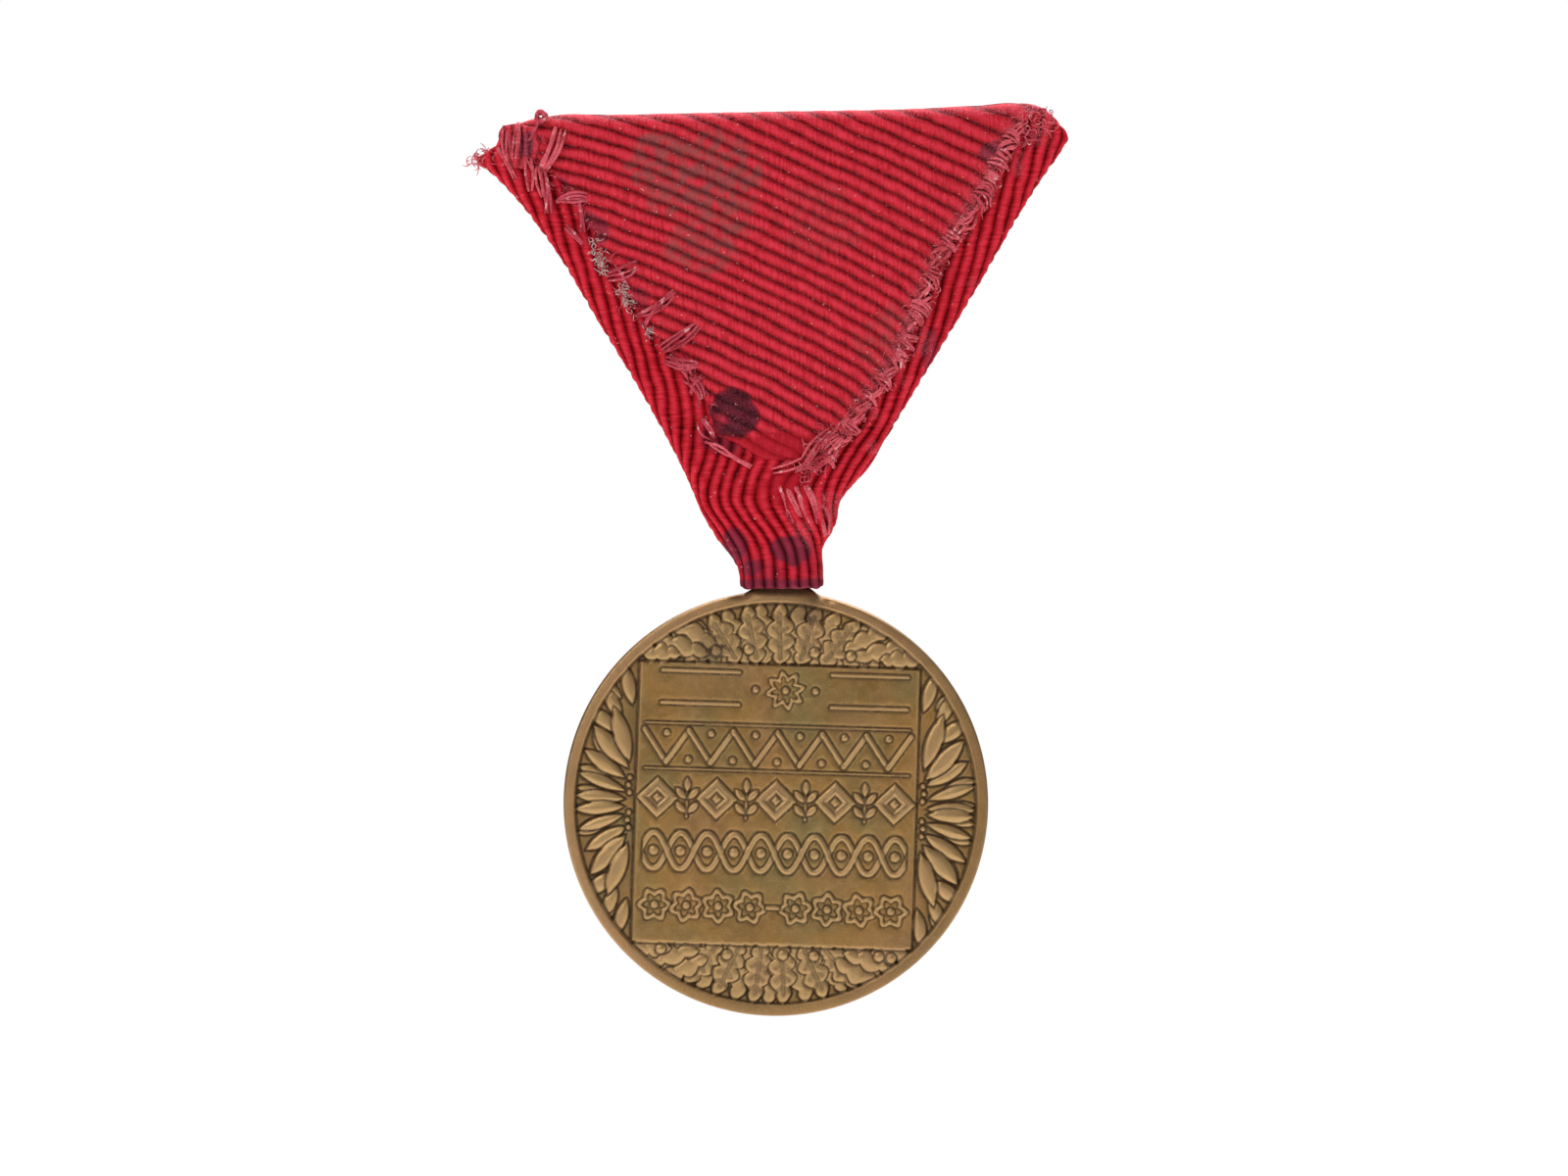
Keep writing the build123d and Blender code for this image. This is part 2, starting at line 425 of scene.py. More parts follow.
class Maths(Enum):
    """The sums that the finishes use."""

    ADD = "ADD"
    TIMES = "MULTIPLY"
    LESS = "SUBTRACT"


class Finish:
    """A procedural material under construction."""

    def __init__(self, name: str) -> None:
        """Starts the material.

        Args:
            name: Its name.
        """
        self.material = bpy.data.materials.new(name)
        self.material.use_nodes = True
        self.tree = self.material.node_tree
        self.tree.nodes.clear()
        self.shader = add(self.tree, "BsdfPrincipled")
        add(self.tree, "OutputMaterial", i0=self.shader.outputs[0])
        self.place = add(self.tree, "TexCoord").outputs["Object"]

    def mark(self, name: str) -> Socket:
        """Reads one of the mesh's marks by its name."""
        return add(self.tree, "Attribute", {"attribute_name": name}).outputs["Fac"]

    def sum(self, how: Maths, a: object, b: object, clamp: bool = False) -> Socket:
        """Works out one sum of two values or sockets, held from 0 to 1 on request."""
        node = add(self.tree, "Math", {"operation": how.value, "use_clamp": clamp}, i0=a, i1=b)
        return node.outputs[0]

    def blend(self, share: object, a: object, b: object, strength: float = 1.0) -> Socket:
        """Mixes two colours, given as hex codes or sockets.

        Args:
            share: How much of b shows.
            a: One colour.
            b: The other colour.
            strength: What the share is multiplied by.

        Returns:
            The mixed colour.
        """
        if strength != 1.0:
            share = self.sum(Maths.TIMES, share, strength)
        a, b = [linear(c) if isinstance(c, str) else c for c in (a, b)]
        return add(self.tree, "Mix", {"data_type": "RGBA"}, i0=share, i6=a, i7=b).outputs[2]

    def steps(self, value: Socket, low: float, high: float) -> Socket:
        """Stretches a value to run from 0 at low to 1 at high, and holds it between."""
        node = add(self.tree, "MapRange", {"interpolation_type": "SMOOTHSTEP"}, i0=value, i1=low, i2=high)
        return node.outputs[0]

    def grain(self, size_mm: float, detail: float = 3.0, stretch: Triple = (1.0, 1.0, 1.0),
              place: Socket | None = None) -> Socket:
        """Noise with features of a real size.

        Args:
            size_mm: The size of its largest features.
            detail: How many finer layers it has.
            stretch: How much finer it is along each axis.
            place: Coordinates in metres, or None for the piece's own.

        Returns:
            The noise, about 0.5.
        """
        moved = add(self.tree, "Mapping", i0=place or self.place, Scale=stretch).outputs[0]
        noise = add(self.tree, "TexNoise", i0=moved, Scale=1 / (size_mm * MM), Detail=detail)
        return noise.outputs["Fac"]

    def rise(self, height: Socket, depth_mm: float) -> None:
        """Gives the surface a fine relief, so deep where the height goes from 0 to 1."""
        bump = add(self.tree, "Bump", Height=height, Distance=depth_mm * MM, Strength=1.0)
        self.tree.links.new(bump.outputs[0], self.shader.inputs["Normal"])

    def give(self, **inputs: object) -> Material:
        """Sets the shader's inputs.

        Args:
            **inputs: Values or sockets by name.

        Returns:
            The finished material.
        """
        for key, value in inputs.items():
            socket = self.shader.inputs[key.replace("_", " ")]
            if isinstance(value, Socket):
                self.tree.links.new(value, socket)
            else:
                socket.default_value = value
        return self.material


@dataclass(frozen=True)
class RibbedRayon:
    """Woven rayon ribbon: fine warp threads over thick weft ribs, whose red crests carry a painted highlight
    and whose grooves carry painted shade.

    Attributes:
        crest: Colour on top of the ribs, a painted highlight.
        body: Colour of most of the cloth.
        groove: Colour between the ribs, a painted shade.
        warp_mm: Distance between warp threads along a rib, coarser than the real 0.1 so that it shows.
    """

    crest: str = "#cc2c3c"
    body: str = "#a3131f"
    groove: str = "#520006"
    warp_mm: float = 0.2

    def make(self, name: str) -> Material:
        """Builds the material.

        Args:
            name: Its name.

        Returns:
            The material.
        """
        f = Finish(name)
        weave = add(f.tree, "UVMap", {"uv_map": "weave"}).outputs[0]
        rib = f.mark("rib")
        uneven = f.grain(1.3, 4.0)
        fibre = f.grain(0.16, 3.0)
        warp = f.grain(self.warp_mm * 1000, 2.0, (1.0, 0.16, 1.0), weave)
        lit = f.sum(Maths.ADD, rib, f.sum(Maths.TIMES, f.sum(Maths.LESS, uneven, 0.5), 0.55))
        lit = f.sum(Maths.ADD, lit, f.sum(Maths.LESS, warp, 0.5))
        # The groove colour is painted shade between the ribs and the crest colour a painted highlight on top
        # of them.
        colour = f.blend(f.steps(lit, 0.0, 0.7), self.groove, self.body)
        colour = f.blend(f.steps(lit, 0.6, 1.2), colour, self.crest)
        patchy = f.sum(Maths.TIMES, f.mark("stain"), f.steps(f.grain(0.9, 3.0), 0.3, 0.62), True)
        # Stain and run dye are mixed darker in the grooves than on the crests, painted shade between the
        # ribs.
        colour = f.blend(patchy, colour, f.blend(rib, "#482628", "#724743"), 0.68)
        # The dye mark also carries painted shade along the right edge of the turned-back cloth.
        colour = f.blend(f.mark("dye"), colour, f.blend(rib, "#2a0a14", "#642638"), 0.82)
        pale = f.sum(Maths.TIMES, f.mark("fade"), f.steps(fibre, 0.35, 0.65), True)
        colour = f.blend(pale, colour, "#cc6f7c", 0.75)
        colour = f.blend(f.mark("glue"), colour, "#93081a", 0.55)
        specks = f.steps(f.grain(0.36, 1.0), 0.745, 0.765)
        colour = f.blend(specks, colour, "#cf9490", 0.5)
        rough = f.sum(Maths.LESS, 0.66, f.sum(Maths.TIMES, f.mark("glue"), 0.2))
        f.rise(f.sum(Maths.ADD, f.sum(Maths.TIMES, warp, 0.7), f.sum(Maths.TIMES, fibre, 0.5)), 0.05)
        return f.give(Base_Color=colour, Roughness=rough, Sheen_Weight=0.03, Sheen_Roughness=0.4,
                      Sheen_Tint=linear("#ff8a92"), Specular_IOR_Level=0.05)


@dataclass(frozen=True)
class SewingCotton:
    """Twisted cotton thread, dyed and faded: matt, pinkish red and a little dusty.

    Attributes:
        deep: Colour between the plies.
        pale: Colour where it is worn.
    """

    deep: str = "#851420"
    pale: str = "#c4505e"

    def make(self, name: str) -> Material:
        """Builds the material.

        Args:
            name: Its name.

        Returns:
            The material.
        """
        f = Finish(name)
        fine = f.grain(0.12, 3.0)
        broad = f.grain(2.0, 2.0)
        share = f.steps(f.sum(Maths.ADD, fine, f.sum(Maths.TIMES, broad, 0.8)), 0.6, 1.15)
        f.rise(fine, 0.03)
        colour = f.blend(share, self.deep, self.pale)
        colour = f.blend(f.steps(f.grain(0.5, 2.0), 0.6, 0.72), colour, "#e6b3b5", 0.6)
        return f.give(Base_Color=colour, Roughness=0.85, Sheen_Weight=0.08, Sheen_Tint=linear("#ffc0c4"),
                      Specular_IOR_Level=0.12)


@dataclass(frozen=True)
class StruckTombac:
    """Struck tombac, a copper-rich brass, with a brown patina: dark olive dirt in the hollows,
    dull gold on the raised work and a coppery tone where it is rubbed. Its rim carries a painted
    highlight towards the upper left and painted shade towards the lower right.

    Attributes:
        ground: Colour of the open surfaces.
        raised: Colour of the raised work.
        rubbed_and_highlight: Colour of the worn edges, and of the painted highlight on the upper left of the
            rim.
        dirt_and_shade: Colour of the dirt in the hollows, and of the painted shade on the lower right of the
            rim.
        bloom: Greenish film beside the dirt.
    """

    ground: str = "#977341"
    raised: str = "#ab8b5f"
    rubbed_and_highlight: str = "#a5865f"
    dirt_and_shade: str = "#2c1c09"
    bloom: str = "#82784e"

    def make(self, name: str) -> Material:
        """Builds the material.

        Args:
            name: Its name.

        Returns:
            The material.
        """
        f = Finish(name)
        cloud = f.grain(3.2, 5.0)
        mottle = f.grain(0.55, 4.0)
        grit = f.grain(0.13, 3.0)
        scratch = f.grain(0.5, 2.0, (9.0, 1.0, 0.8))
        patchy = f.sum(Maths.TIMES, f.sum(Maths.LESS, mottle, 0.5), 0.5)
        # The wear mark also holds a painted highlight on the upper left of the rim.
        wear_and_highlight = f.sum(Maths.ADD, f.mark("wear_and_highlight"), patchy, True)
        grimy = f.sum(Maths.TIMES, f.sum(Maths.LESS, grit, 0.52), 0.7)
        # Besides dirt this holds painted shade on the lower right of the rim.
        dirt = f.sum(Maths.ADD, f.mark("dirt_and_shade"), grimy, True)
        dirt = f.sum(Maths.TIMES, dirt, f.sum(Maths.ADD, 0.45, mottle), True)
        colour = f.blend(f.steps(cloud, 0.35, 0.65), self.ground, "#84643a")
        colour = f.blend(f.steps(mottle, 0.45, 0.7), colour, "#a07a50", 0.35)
        colour = f.blend(f.steps(scratch, 0.48, 0.72), colour, "#7a5c35", 0.4)
        film = f.sum(Maths.TIMES, f.mark("film"), f.steps(cloud, 0.3, 0.6), True)
        colour = f.blend(film, colour, self.bloom, 0.6)
        colour = f.blend(f.mark("raised"), colour, self.raised, 0.85)
        colour = f.blend(wear_and_highlight, colour, self.rubbed_and_highlight, 0.75)
        # The copper mark also holds a painted highlight on the upper left of the rim.
        colour = f.blend(f.mark("copper_and_highlight"), colour, "#a57c59", 0.4)
        colour = f.blend(dirt, colour, self.dirt_and_shade, 0.9)
        rough = f.sum(Maths.ADD, 0.42, f.sum(Maths.TIMES, dirt, 0.35))
        rough = f.sum(Maths.ADD, rough, f.sum(Maths.TIMES, f.sum(Maths.LESS, mottle, 0.5), 0.25))
        shine = f.sum(Maths.LESS, 0.92, f.sum(Maths.TIMES, dirt, 0.55))
        f.rise(f.sum(Maths.ADD, grit, f.sum(Maths.TIMES, f.sum(Maths.ADD, scratch, mottle), 0.5)), 0.02)
        return f.give(Base_Color=colour, Roughness=rough, Metallic=shine)


@dataclass(frozen=True)
class PlainFinish:
    """A plain finish with grain, for drawn brass wire, stiffened cotton and cotton lint.

    Attributes:
        light: Its lighter colour.
        dark: Its darker colour.
        grain_mm: Size of its grain.
        roughness: Its roughness.
        metallic: 1 for a metal.
    """

    light: str
    dark: str
    grain_mm: float
    roughness: float
    metallic: float

    def make(self, name: str) -> Material:
        """Builds the material.

        Args:
            name: Its name.

        Returns:
            The material.
        """
        f = Finish(name)
        grain = f.grain(self.grain_mm, 3.0)
        f.rise(grain, 0.03)
        return f.give(Base_Color=f.blend(f.steps(grain, 0.35, 0.65), self.dark, self.light),
                      Roughness=self.roughness, Metallic=self.metallic)


# -------- ribbon


class Face(Enum):
    """The two sides of the ribbon: the sewn one towards the chest and the worn one."""

    SEWN = -1
    WORN = 1


def spread(count: int, crowd: float = 0.7) -> Array:
    """Places from 0 to 1 that crowd together near both ends, with a crowd of 0 for even ones."""
    u = np.linspace(0.0, 1.0, count)
    return u - crowd * np.sin(TURN * u) / TURN


def rib_of(phase: Array) -> Array:
    """How high the cloth stands, from 0 in a groove to 1 on the broad, round crest of a rib."""
    return np.abs(np.cos(math.pi * phase)) ** 0.8


@dataclass(frozen=True)
class FoldedRibbon:
    """The outline, thickness and ribs that the parts of the folded ribbon share.

    Attributes:
        left: X of the left outline over Z.
        right: X of the right outline over Z.
        top: Z of the upper outline over X.
        rib_depth: How deep the grooves are.
        pitch: Distance between ribs.
        left_slant: How far ribs run right per millimetre down, on the left, over the drop.
        right_slant: The same on the right.
        meeting_z: Z where the ribs of both sides run on into each other.
        dyes: Dark blots where the dye has run, the last one a painted shade along the right edge.
        glued: Where glue has soaked in.
    """

    left: Bend = Bend((
        (-0.9, -22.3), (-2.6, -22.8), (-4.0, -24.3), (-4.9, -23.2), (-6.4, -21.7), (-9.9, -18.9),
        (-17.0, -14.5), (-24.0, -10.3), (-29.6, -7.4), (-32.4, -6.2), (-34.4, -5.0), (-35.9, -3.8),
        (-37.2, -3.3), (-38.3, -3.0)))
    right: Bend = Bend((
        (0.5, 21.0), (-0.7, 22.2), (-2.1, 23.1), (-3.2, 22.5), (-5.2, 21.1), (-14.6, 15.5), (-24.0, 9.8),
        (-28.8, 6.9), (-31.1, 4.95), (-32.6, 4.6), (-33.5, 4.3), (-34.8, 3.5), (-37.2, 3.5), (-38.3, 3.2)))
    top: Bend = Bend((
        (-22.6, -1.3), (-21.7, -1.15), (-19.3, -0.5), (-12.2, -0.24), (-0.5, 0.0), (11.3, 0.24), (16.0, 0.47),
        (20.7, 0.39), (22.0, -0.3)))
    rib_depth: float = 0.26
    pitch: float = 0.98
    left_slant: Bend = Bend((
        (0.0, 0.3), (12.0, 0.26), (22.0, 0.2), (25.5, 0.05), (31.0, 0.05), (32.0, 0.6), (34.5, 0.55),
        (35.6, 0.2), (39.0, 0.15)))
    right_slant: Bend = Bend((
        (0.0, -0.2), (14.0, -0.26), (22.0, -0.32), (30.0, -0.35), (31.5, 0.1), (33.0, 0.5), (34.5, 0.5),
        (35.6, 0.2), (39.0, 0.15)))
    meeting_z: float = -33.0
    dyes: tuple[Blot, ...] = (
        Blot((-3.7, -34.9), (1.2, 1.3), 31, 0.9), Blot((1.0, -34.9), (1.9, 1.2), 33, 0.9),
        Blot((-2.2, -36.6), (1.2, 0.9), 37, 0.6), Blot((-4.6, -26.2), (2.0, 1.5), 39, 0.75),
        # Painted shade where the right edge turns away, not run dye.
        Blot((12.2, -19.0), (0.9, 2.2), 40, 0.6))
    glued: Blot = Blot((0.4, -30.0), (1.7, 2.0), 43)

    def middle(self, z: Array) -> Array:
        """The Y of the ribbon's mid plane at each Z."""
        return 1.35 + 0.55 * ease(-25.0, -32.5, z)

    def half(self, z: Array) -> Array:
        """Half the ribbon's thickness at each Z."""
        return 0.85 + 1.08 * ease(-25.0, -32.5, z)

    def edge_radius(self, z: Array) -> Array:
        """Radius of its rounded side edges at each Z."""
        return 0.85 + 0.7 * ease(-26.0, -33.0, z)

    def skin(self, x: Array, z: Array, face: Face) -> tuple[Array, Array]:
        """The smooth cloth before its ribs.

        Args:
            x: Places along X.
            z: Places along Z.
            face: Which side.

        Returns:
            The points, and the unit directions out of them.
        """
        left, right = self.left.at(z), self.right.at(z)
        radius = self.edge_radius(z)
        reach = np.minimum(x - left, right - x)
        inward = 1.0 - np.clip(reach / radius, 0.0, 1.0)
        out = np.sqrt(1.0 - inward * inward)
        side = np.where(x - left < right - x, -1.0, 1.0)
        uneven = 0.1 * lumps(x, z, 3.1, 5) * out
        y = self.middle(z) + face.value * (self.half(z) - radius * (1.0 - out)) + uneven
        points = np.stack([x, y, z], axis=-1)
        return points, np.stack([side * inward, face.value * out, np.zeros_like(x)], axis=-1)

    def unrolled(self, x: Array, z: Array) -> Array:
        """Measures X along the cloth, round its rounded side edges.

        Args:
            x: Places along X.
            z: Places along Z.

        Returns:
            X, further out than the edge where the cloth has turned away from the face.
        """
        left, right, radius = self.left.at(z), self.right.at(z), self.edge_radius(z)
        inward = 1.0 - np.clip(np.minimum(x - left, right - x) / radius, 0.0, 1.0)
        return x + np.where(x - left < right - x, -radius, radius) * (np.arcsin(inward) - inward)

    def phase(self, x: Array, z: Array) -> Array:
        """Counts the ribs of the turned-back edges and the neck.

        Args:
            x: Places along X.
            z: Places along Z.

        Returns:
            Ribs counted from the left.
        """
        wander = 0.1 * lumps(x, z, 2.3, 11) + 0.06 * lumps(x, z, 0.9, 12)
        along = self.unrolled(x, z)
        left = (along - self.left_slant.area(-z)) / self.pitch
        right = (along - self.right_slant.area(-z)) / self.pitch
        drop = -self.meeting_z
        meet = (self.left_slant.area(drop) - self.right_slant.area(drop)) / self.pitch
        share = ease(-2.5, 3.5, x)
        return left * (1 - share) + (right - round(float(meet))) * share + wander

    def soiling(self, x: Array, z: Array) -> dict[str, Array]:
        """The marks on the turned-back edges and the neck.

        Args:
            x: Places along X.
            z: Places along Z.

        Returns:
            Stain, dye, fade and glue from 0 to 1; the dye also holds the painted shade along the right edge.
        """
        hem = ease(-37.3, -37.8, z) + ease(-34.6, -36.4, z) * (0.34 + 0.3 * lumps(x, z, 1.2, 38))
        dye = blots(self.dyes, x, z) + hem
        fade = 0.35 * ease(0.2, 0.7, lumps(x, z, 1.3, 45)) * ease(0.3, 1.5, x)
        return {"stain": 0 * x, "dye": np.clip(dye, 0, 1), "fade": fade, "glue": self.glued.at(x, z)}


@dataclass
class TurnedEdge:
    """One side of the front ribbon, folded over to the back and running on under the panel.

    Attributes:
        name: The piece's name.
        left_side: Whether it is the left one.
        highest: Z of its upper end.
        inner: X of its hidden inner edge over Z.
        lowest: Z where the neck takes over.
        thick: Thickness of the cloth.
        lining: Y that its hidden side keeps clear of, in front of the stiffening cloth.
        crowd: How much its points crowd towards the outline, 1 for not at all.
        fold_radius: Roundness of the fold along the top.
        rows: Points down it.
        columns: Points across it.
    """

    name: str
    left_side: bool
    highest: float
    inner: Bend
    lowest: float = -25.4
    thick: float = 0.45
    lining: float = 1.3
    crowd: float = 1.4
    fold_radius: float = 0.85
    rows: int = 361
    columns: int = 73

    def build(self, shape: FoldedRibbon, finish: Material) -> Piece:
        """Builds the edge.

        Args:
            shape: The whole ribbon's shape.
            finish: The cloth.

        Returns:
            The piece.
        """
        t = np.linspace(0.0, 1.0, self.rows)[:, None]
        u = np.linspace(0.0, 1.0, self.columns)[None, :]
        s = u ** self.crowd if self.left_side else 1 - (1 - u) ** self.crowd
        outline = shape.left if self.left_side else shape.right
        z = self.highest + (self.lowest - self.highest) * t + 0 * s
        edge, inner = outline.at(z), self.inner.at(z)
        x = edge + (inner - edge) * s if self.left_side else inner + (edge - inner) * s
        skin, out = shape.skin(x, z, Face.SEWN)
        under_fold = shape.middle(z) - shape.half(z) + roll(shape.top.at(x) - z, self.fold_radius)
        skin[..., 1] = np.maximum(skin[..., 1], under_fold)
        phase = shape.phase(x, z)
        rib = rib_of(phase)
        marks = {"rib": rib, **shape.soiling(x, z)}
        outer = skin - out * ((1 - rib) * shape.rib_depth * (1 - 0.7 * marks["glue"]))[..., None]
        lining = skin - out * self.thick
        lining[..., 1] = np.minimum(lining[..., 1], self.lining)
        weave = np.stack([z, phase], axis=-1)
        return doubled(outer, lining, marks, weave).build(self.name, finish)


@dataclass
class BackPanel:
    """The panel of ribbon sewn over the turned-back edges.

    Attributes:
        left: X of its left seam over Z.
        right: X of its right seam over Z.
        bottom: Z of its lower edge over X.
        slope: Downward slope of the ribs over X.
        pitch: Distance between ribs.
        rib_depth: How deep the grooves are.
        seam_radius: Roundness of its sewn edges.
        top_radius: Roundness of the fold along the top.
        thick: Thickness of the cloth.
        lining: Y that its hidden side keeps behind.
        top_from: X where its upper edge starts.
        top_wide: How wide its upper edge is.
        low_from: X where its lower edge starts.
        low_wide: How wide its lower edge is.
        stitch_pitch: Distance between the puckers that the seams pull.
        spot: X and Z of the round dark spot.
        bead: X and Z of the small bump beside it.
        stains: Grey stains.
        dyes: Dark blots where the dye has run.
        glued: Where glue has soaked in.
        rows: Points down it.
        columns: Points across it.
    """

    left: Bend = Bend((
        (0.2, -21.6), (-1.6, -21.2), (-3.6, -19.7), (-4.6, -18.6), (-8.7, -15.8), (-13.5, -13.0),
        (-18.0, -10.1), (-20.9, -7.4), (-23.4, -6.0), (-25.2, -5.6), (-26.4, -5.2)))
    right: Bend = Bend((
        (0.3, 20.9), (-0.7, 19.8), (-4.2, 17.7), (-6.8, 16.3), (-10.6, 13.7), (-15.4, 11.5), (-19.9, 9.6),
        (-23.1, 7.3), (-25.4, 5.7), (-28.3, 3.6)))
    bottom: Bend = Bend((
        (-5.9, -25.9), (-3.6, -27.0), (-2.0, -27.9), (0.2, -28.1), (2.4, -28.5), (3.6, -28.4)))
    slope: Bend = Bend((
        (-20.0, 0.2), (-15.0, 0.31), (-10.0, 0.4), (0.0, 0.49), (10.0, 0.56), (16.0, 0.72), (20.0, 0.9)))
    pitch: float = 1.03
    rib_depth: float = 0.27
    seam_radius: float = 0.5
    top_radius: float = 1.15
    thick: float = 0.42
    lining: float = 0.36
    top_from: float = -21.4
    top_wide: float = 42.2
    low_from: float = -5.4
    low_wide: float = 9.0
    stitch_pitch: float = 2.3
    spot: Pair = (-3.75, -24.3)
    bead: Pair = (-4.75, -24.7)
    stains: tuple[Blot, ...] = (
        Blot((-8.6, -5.0), (3.3, 4.2), 13), Blot((-4.6, -5.6), (3.0, 4.6), 15),
        Blot((-6.5, -11.2), (2.6, 2.2), 17, 0.8), Blot((3.0, -9.0), (4.0, 2.6), 19, 0.3),
        Blot((8.5, -18.5), (2.2, 3.0), 21, 0.5))
    dyes: tuple[Blot, ...] = (
        Blot((17.2, -3.4), (1.2, 0.8), 23, 0.9), Blot((-14.9, -9.4), (1.1, 1.3), 25, 0.8),
        Blot((-17.8, -6.2), (0.9, 1.0), 27, 0.7), Blot((-11.2, -15.0), (0.8, 1.0), 29, 0.5))
    glued: Blot = Blot((-0.9, -27.0), (3.6, 1.5), 53, 0.9)
    rows: int = 281
    columns: int = 241

    def build(self, shape: FoldedRibbon, finish: Material) -> Piece:
        """Builds the panel.

        Args:
            shape: The whole ribbon's shape.
            finish: The cloth.

        Returns:
            The piece.
        """
        t = spread(self.rows, 0.45)[:, None]
        s = spread(self.columns, 0.6)[None, :]
        top = shape.top.at(self.top_from + self.top_wide * s)
        bottom = self.bottom.at(self.low_from + self.low_wide * s)
        z = top + (bottom - top) * t
        left, right = self.left.at(z), self.right.at(z)
        x = left + (right - left) * s
        near_left, near_right = (x - left) * 0.85, (right - x) * 0.85
        seam = np.minimum(np.minimum(near_left, near_right), z - bottom)
        fall = roll(seam, self.seam_radius) * ease(-0.2, -1.8, z)
        fold = roll(top - z, self.top_radius)
        pull = 0.5 + 0.5 * np.cos(TURN * z / self.stitch_pitch + 2 * lumps(x, z, 3.0, 71))
        pucker = 0.22 * pull * np.exp(-near_left ** 2) + 0.12 * pull * np.exp(-(near_right / 0.9) ** 2)
        swell = -0.14 * lumps(x, z, 8.0, 3) - 0.05 * lumps(x, z, 2.6, 4)
        from_spot = np.hypot(x - self.spot[0], z - self.spot[1])
        spot = ease(2.1, 1.6, from_spot + 0.3 * lumps(x, z, 0.9, 6))
        bead = ease(0.95, 0.2, np.hypot((x - self.bead[0]) / 1.15, z - self.bead[1]))
        dip = 0.28 * spot * ease(0.6, 1.6, from_spot) - 0.42 * bead
        y = np.maximum(fall, fold) + pucker + swell * ease(0.0, 1.2, seam) + dip
        base = np.stack([x, y, z], axis=-1)
        out = normals_of(base)
        phase = self.phase(x, z, right)
        glue = np.clip(self.glued.at(x, z) + 0.8 * spot, 0, 1)
        rib = rib_of(phase) * (1 - 0.6 * glue) + 0.42 * glue
        marks = self.soiling(x, z, spot, bead, near_right, glue)
        marks["rib"] = np.clip(rib - 0.5 * spot * (1 - bead), 0, 1)
        depth = self.rib_depth * (0.3 + 0.7 * ease(0.1, 1.0, top - z))
        outer = base - out * ((1 - rib) * depth)[..., None]
        lining = base - out * self.thick
        lining[..., 1] = np.maximum(lining[..., 1], self.lining)
        weave = np.stack([x * 1.12, phase * self.pitch], axis=-1)
        return doubled(outer, lining, marks, weave).build("panel_cloth", finish)

    def phase(self, x: Array, z: Array, right: Array) -> Array:
        """Counts the panel's ribs.

        Args:
            x: Places along X.
            z: Places along Z.
            right: X of the right seam there.

        Returns:
            Ribs counted upwards.
        """
        slope = self.slope.at(x)
        height = -self.slope.area(x) - 0.9 * np.exp(-np.clip(right - x, 0, None) / 1.6)
        wander = 0.1 * lumps(x, z, 3.4, 61) + 0.06 * lumps(x, z, 1.1, 62)
        return (z + 8.0 - height) / (self.pitch * np.sqrt(1 + slope * slope)) + wander

    def soiling(self, x: Array, z: Array, spot: Array, bead: Array, near_right: Array,
                glue: Array) -> dict[str, Array]:
        """The marks that years of wear left on the panel.

        Args:
            x: Places along X.
            z: Places along Z.
            spot: 1 on the dark round spot.
            bead: 1 on the bump beside it.
            near_right: Distance from the right seam.
            glue: 1 where glue has soaked in.

        Returns:
            Stain, dye, fade and glue from 0 to 1.
        """
        stain = blots(self.stains, x, z)
        dye = blots(self.dyes, x, z) + spot * (1 - 0.45 * bead)
        fade = 0.8 * np.exp(-(near_right / 0.9) ** 2) + 0.12 + 0.5 * ease(-0.9, -0.2, z - 0.02 * x)
        return {"stain": np.clip(stain, 0, 1), "dye": np.clip(dye, 0, 1), "fade": fade,
                "glue": glue * (1 - spot)}


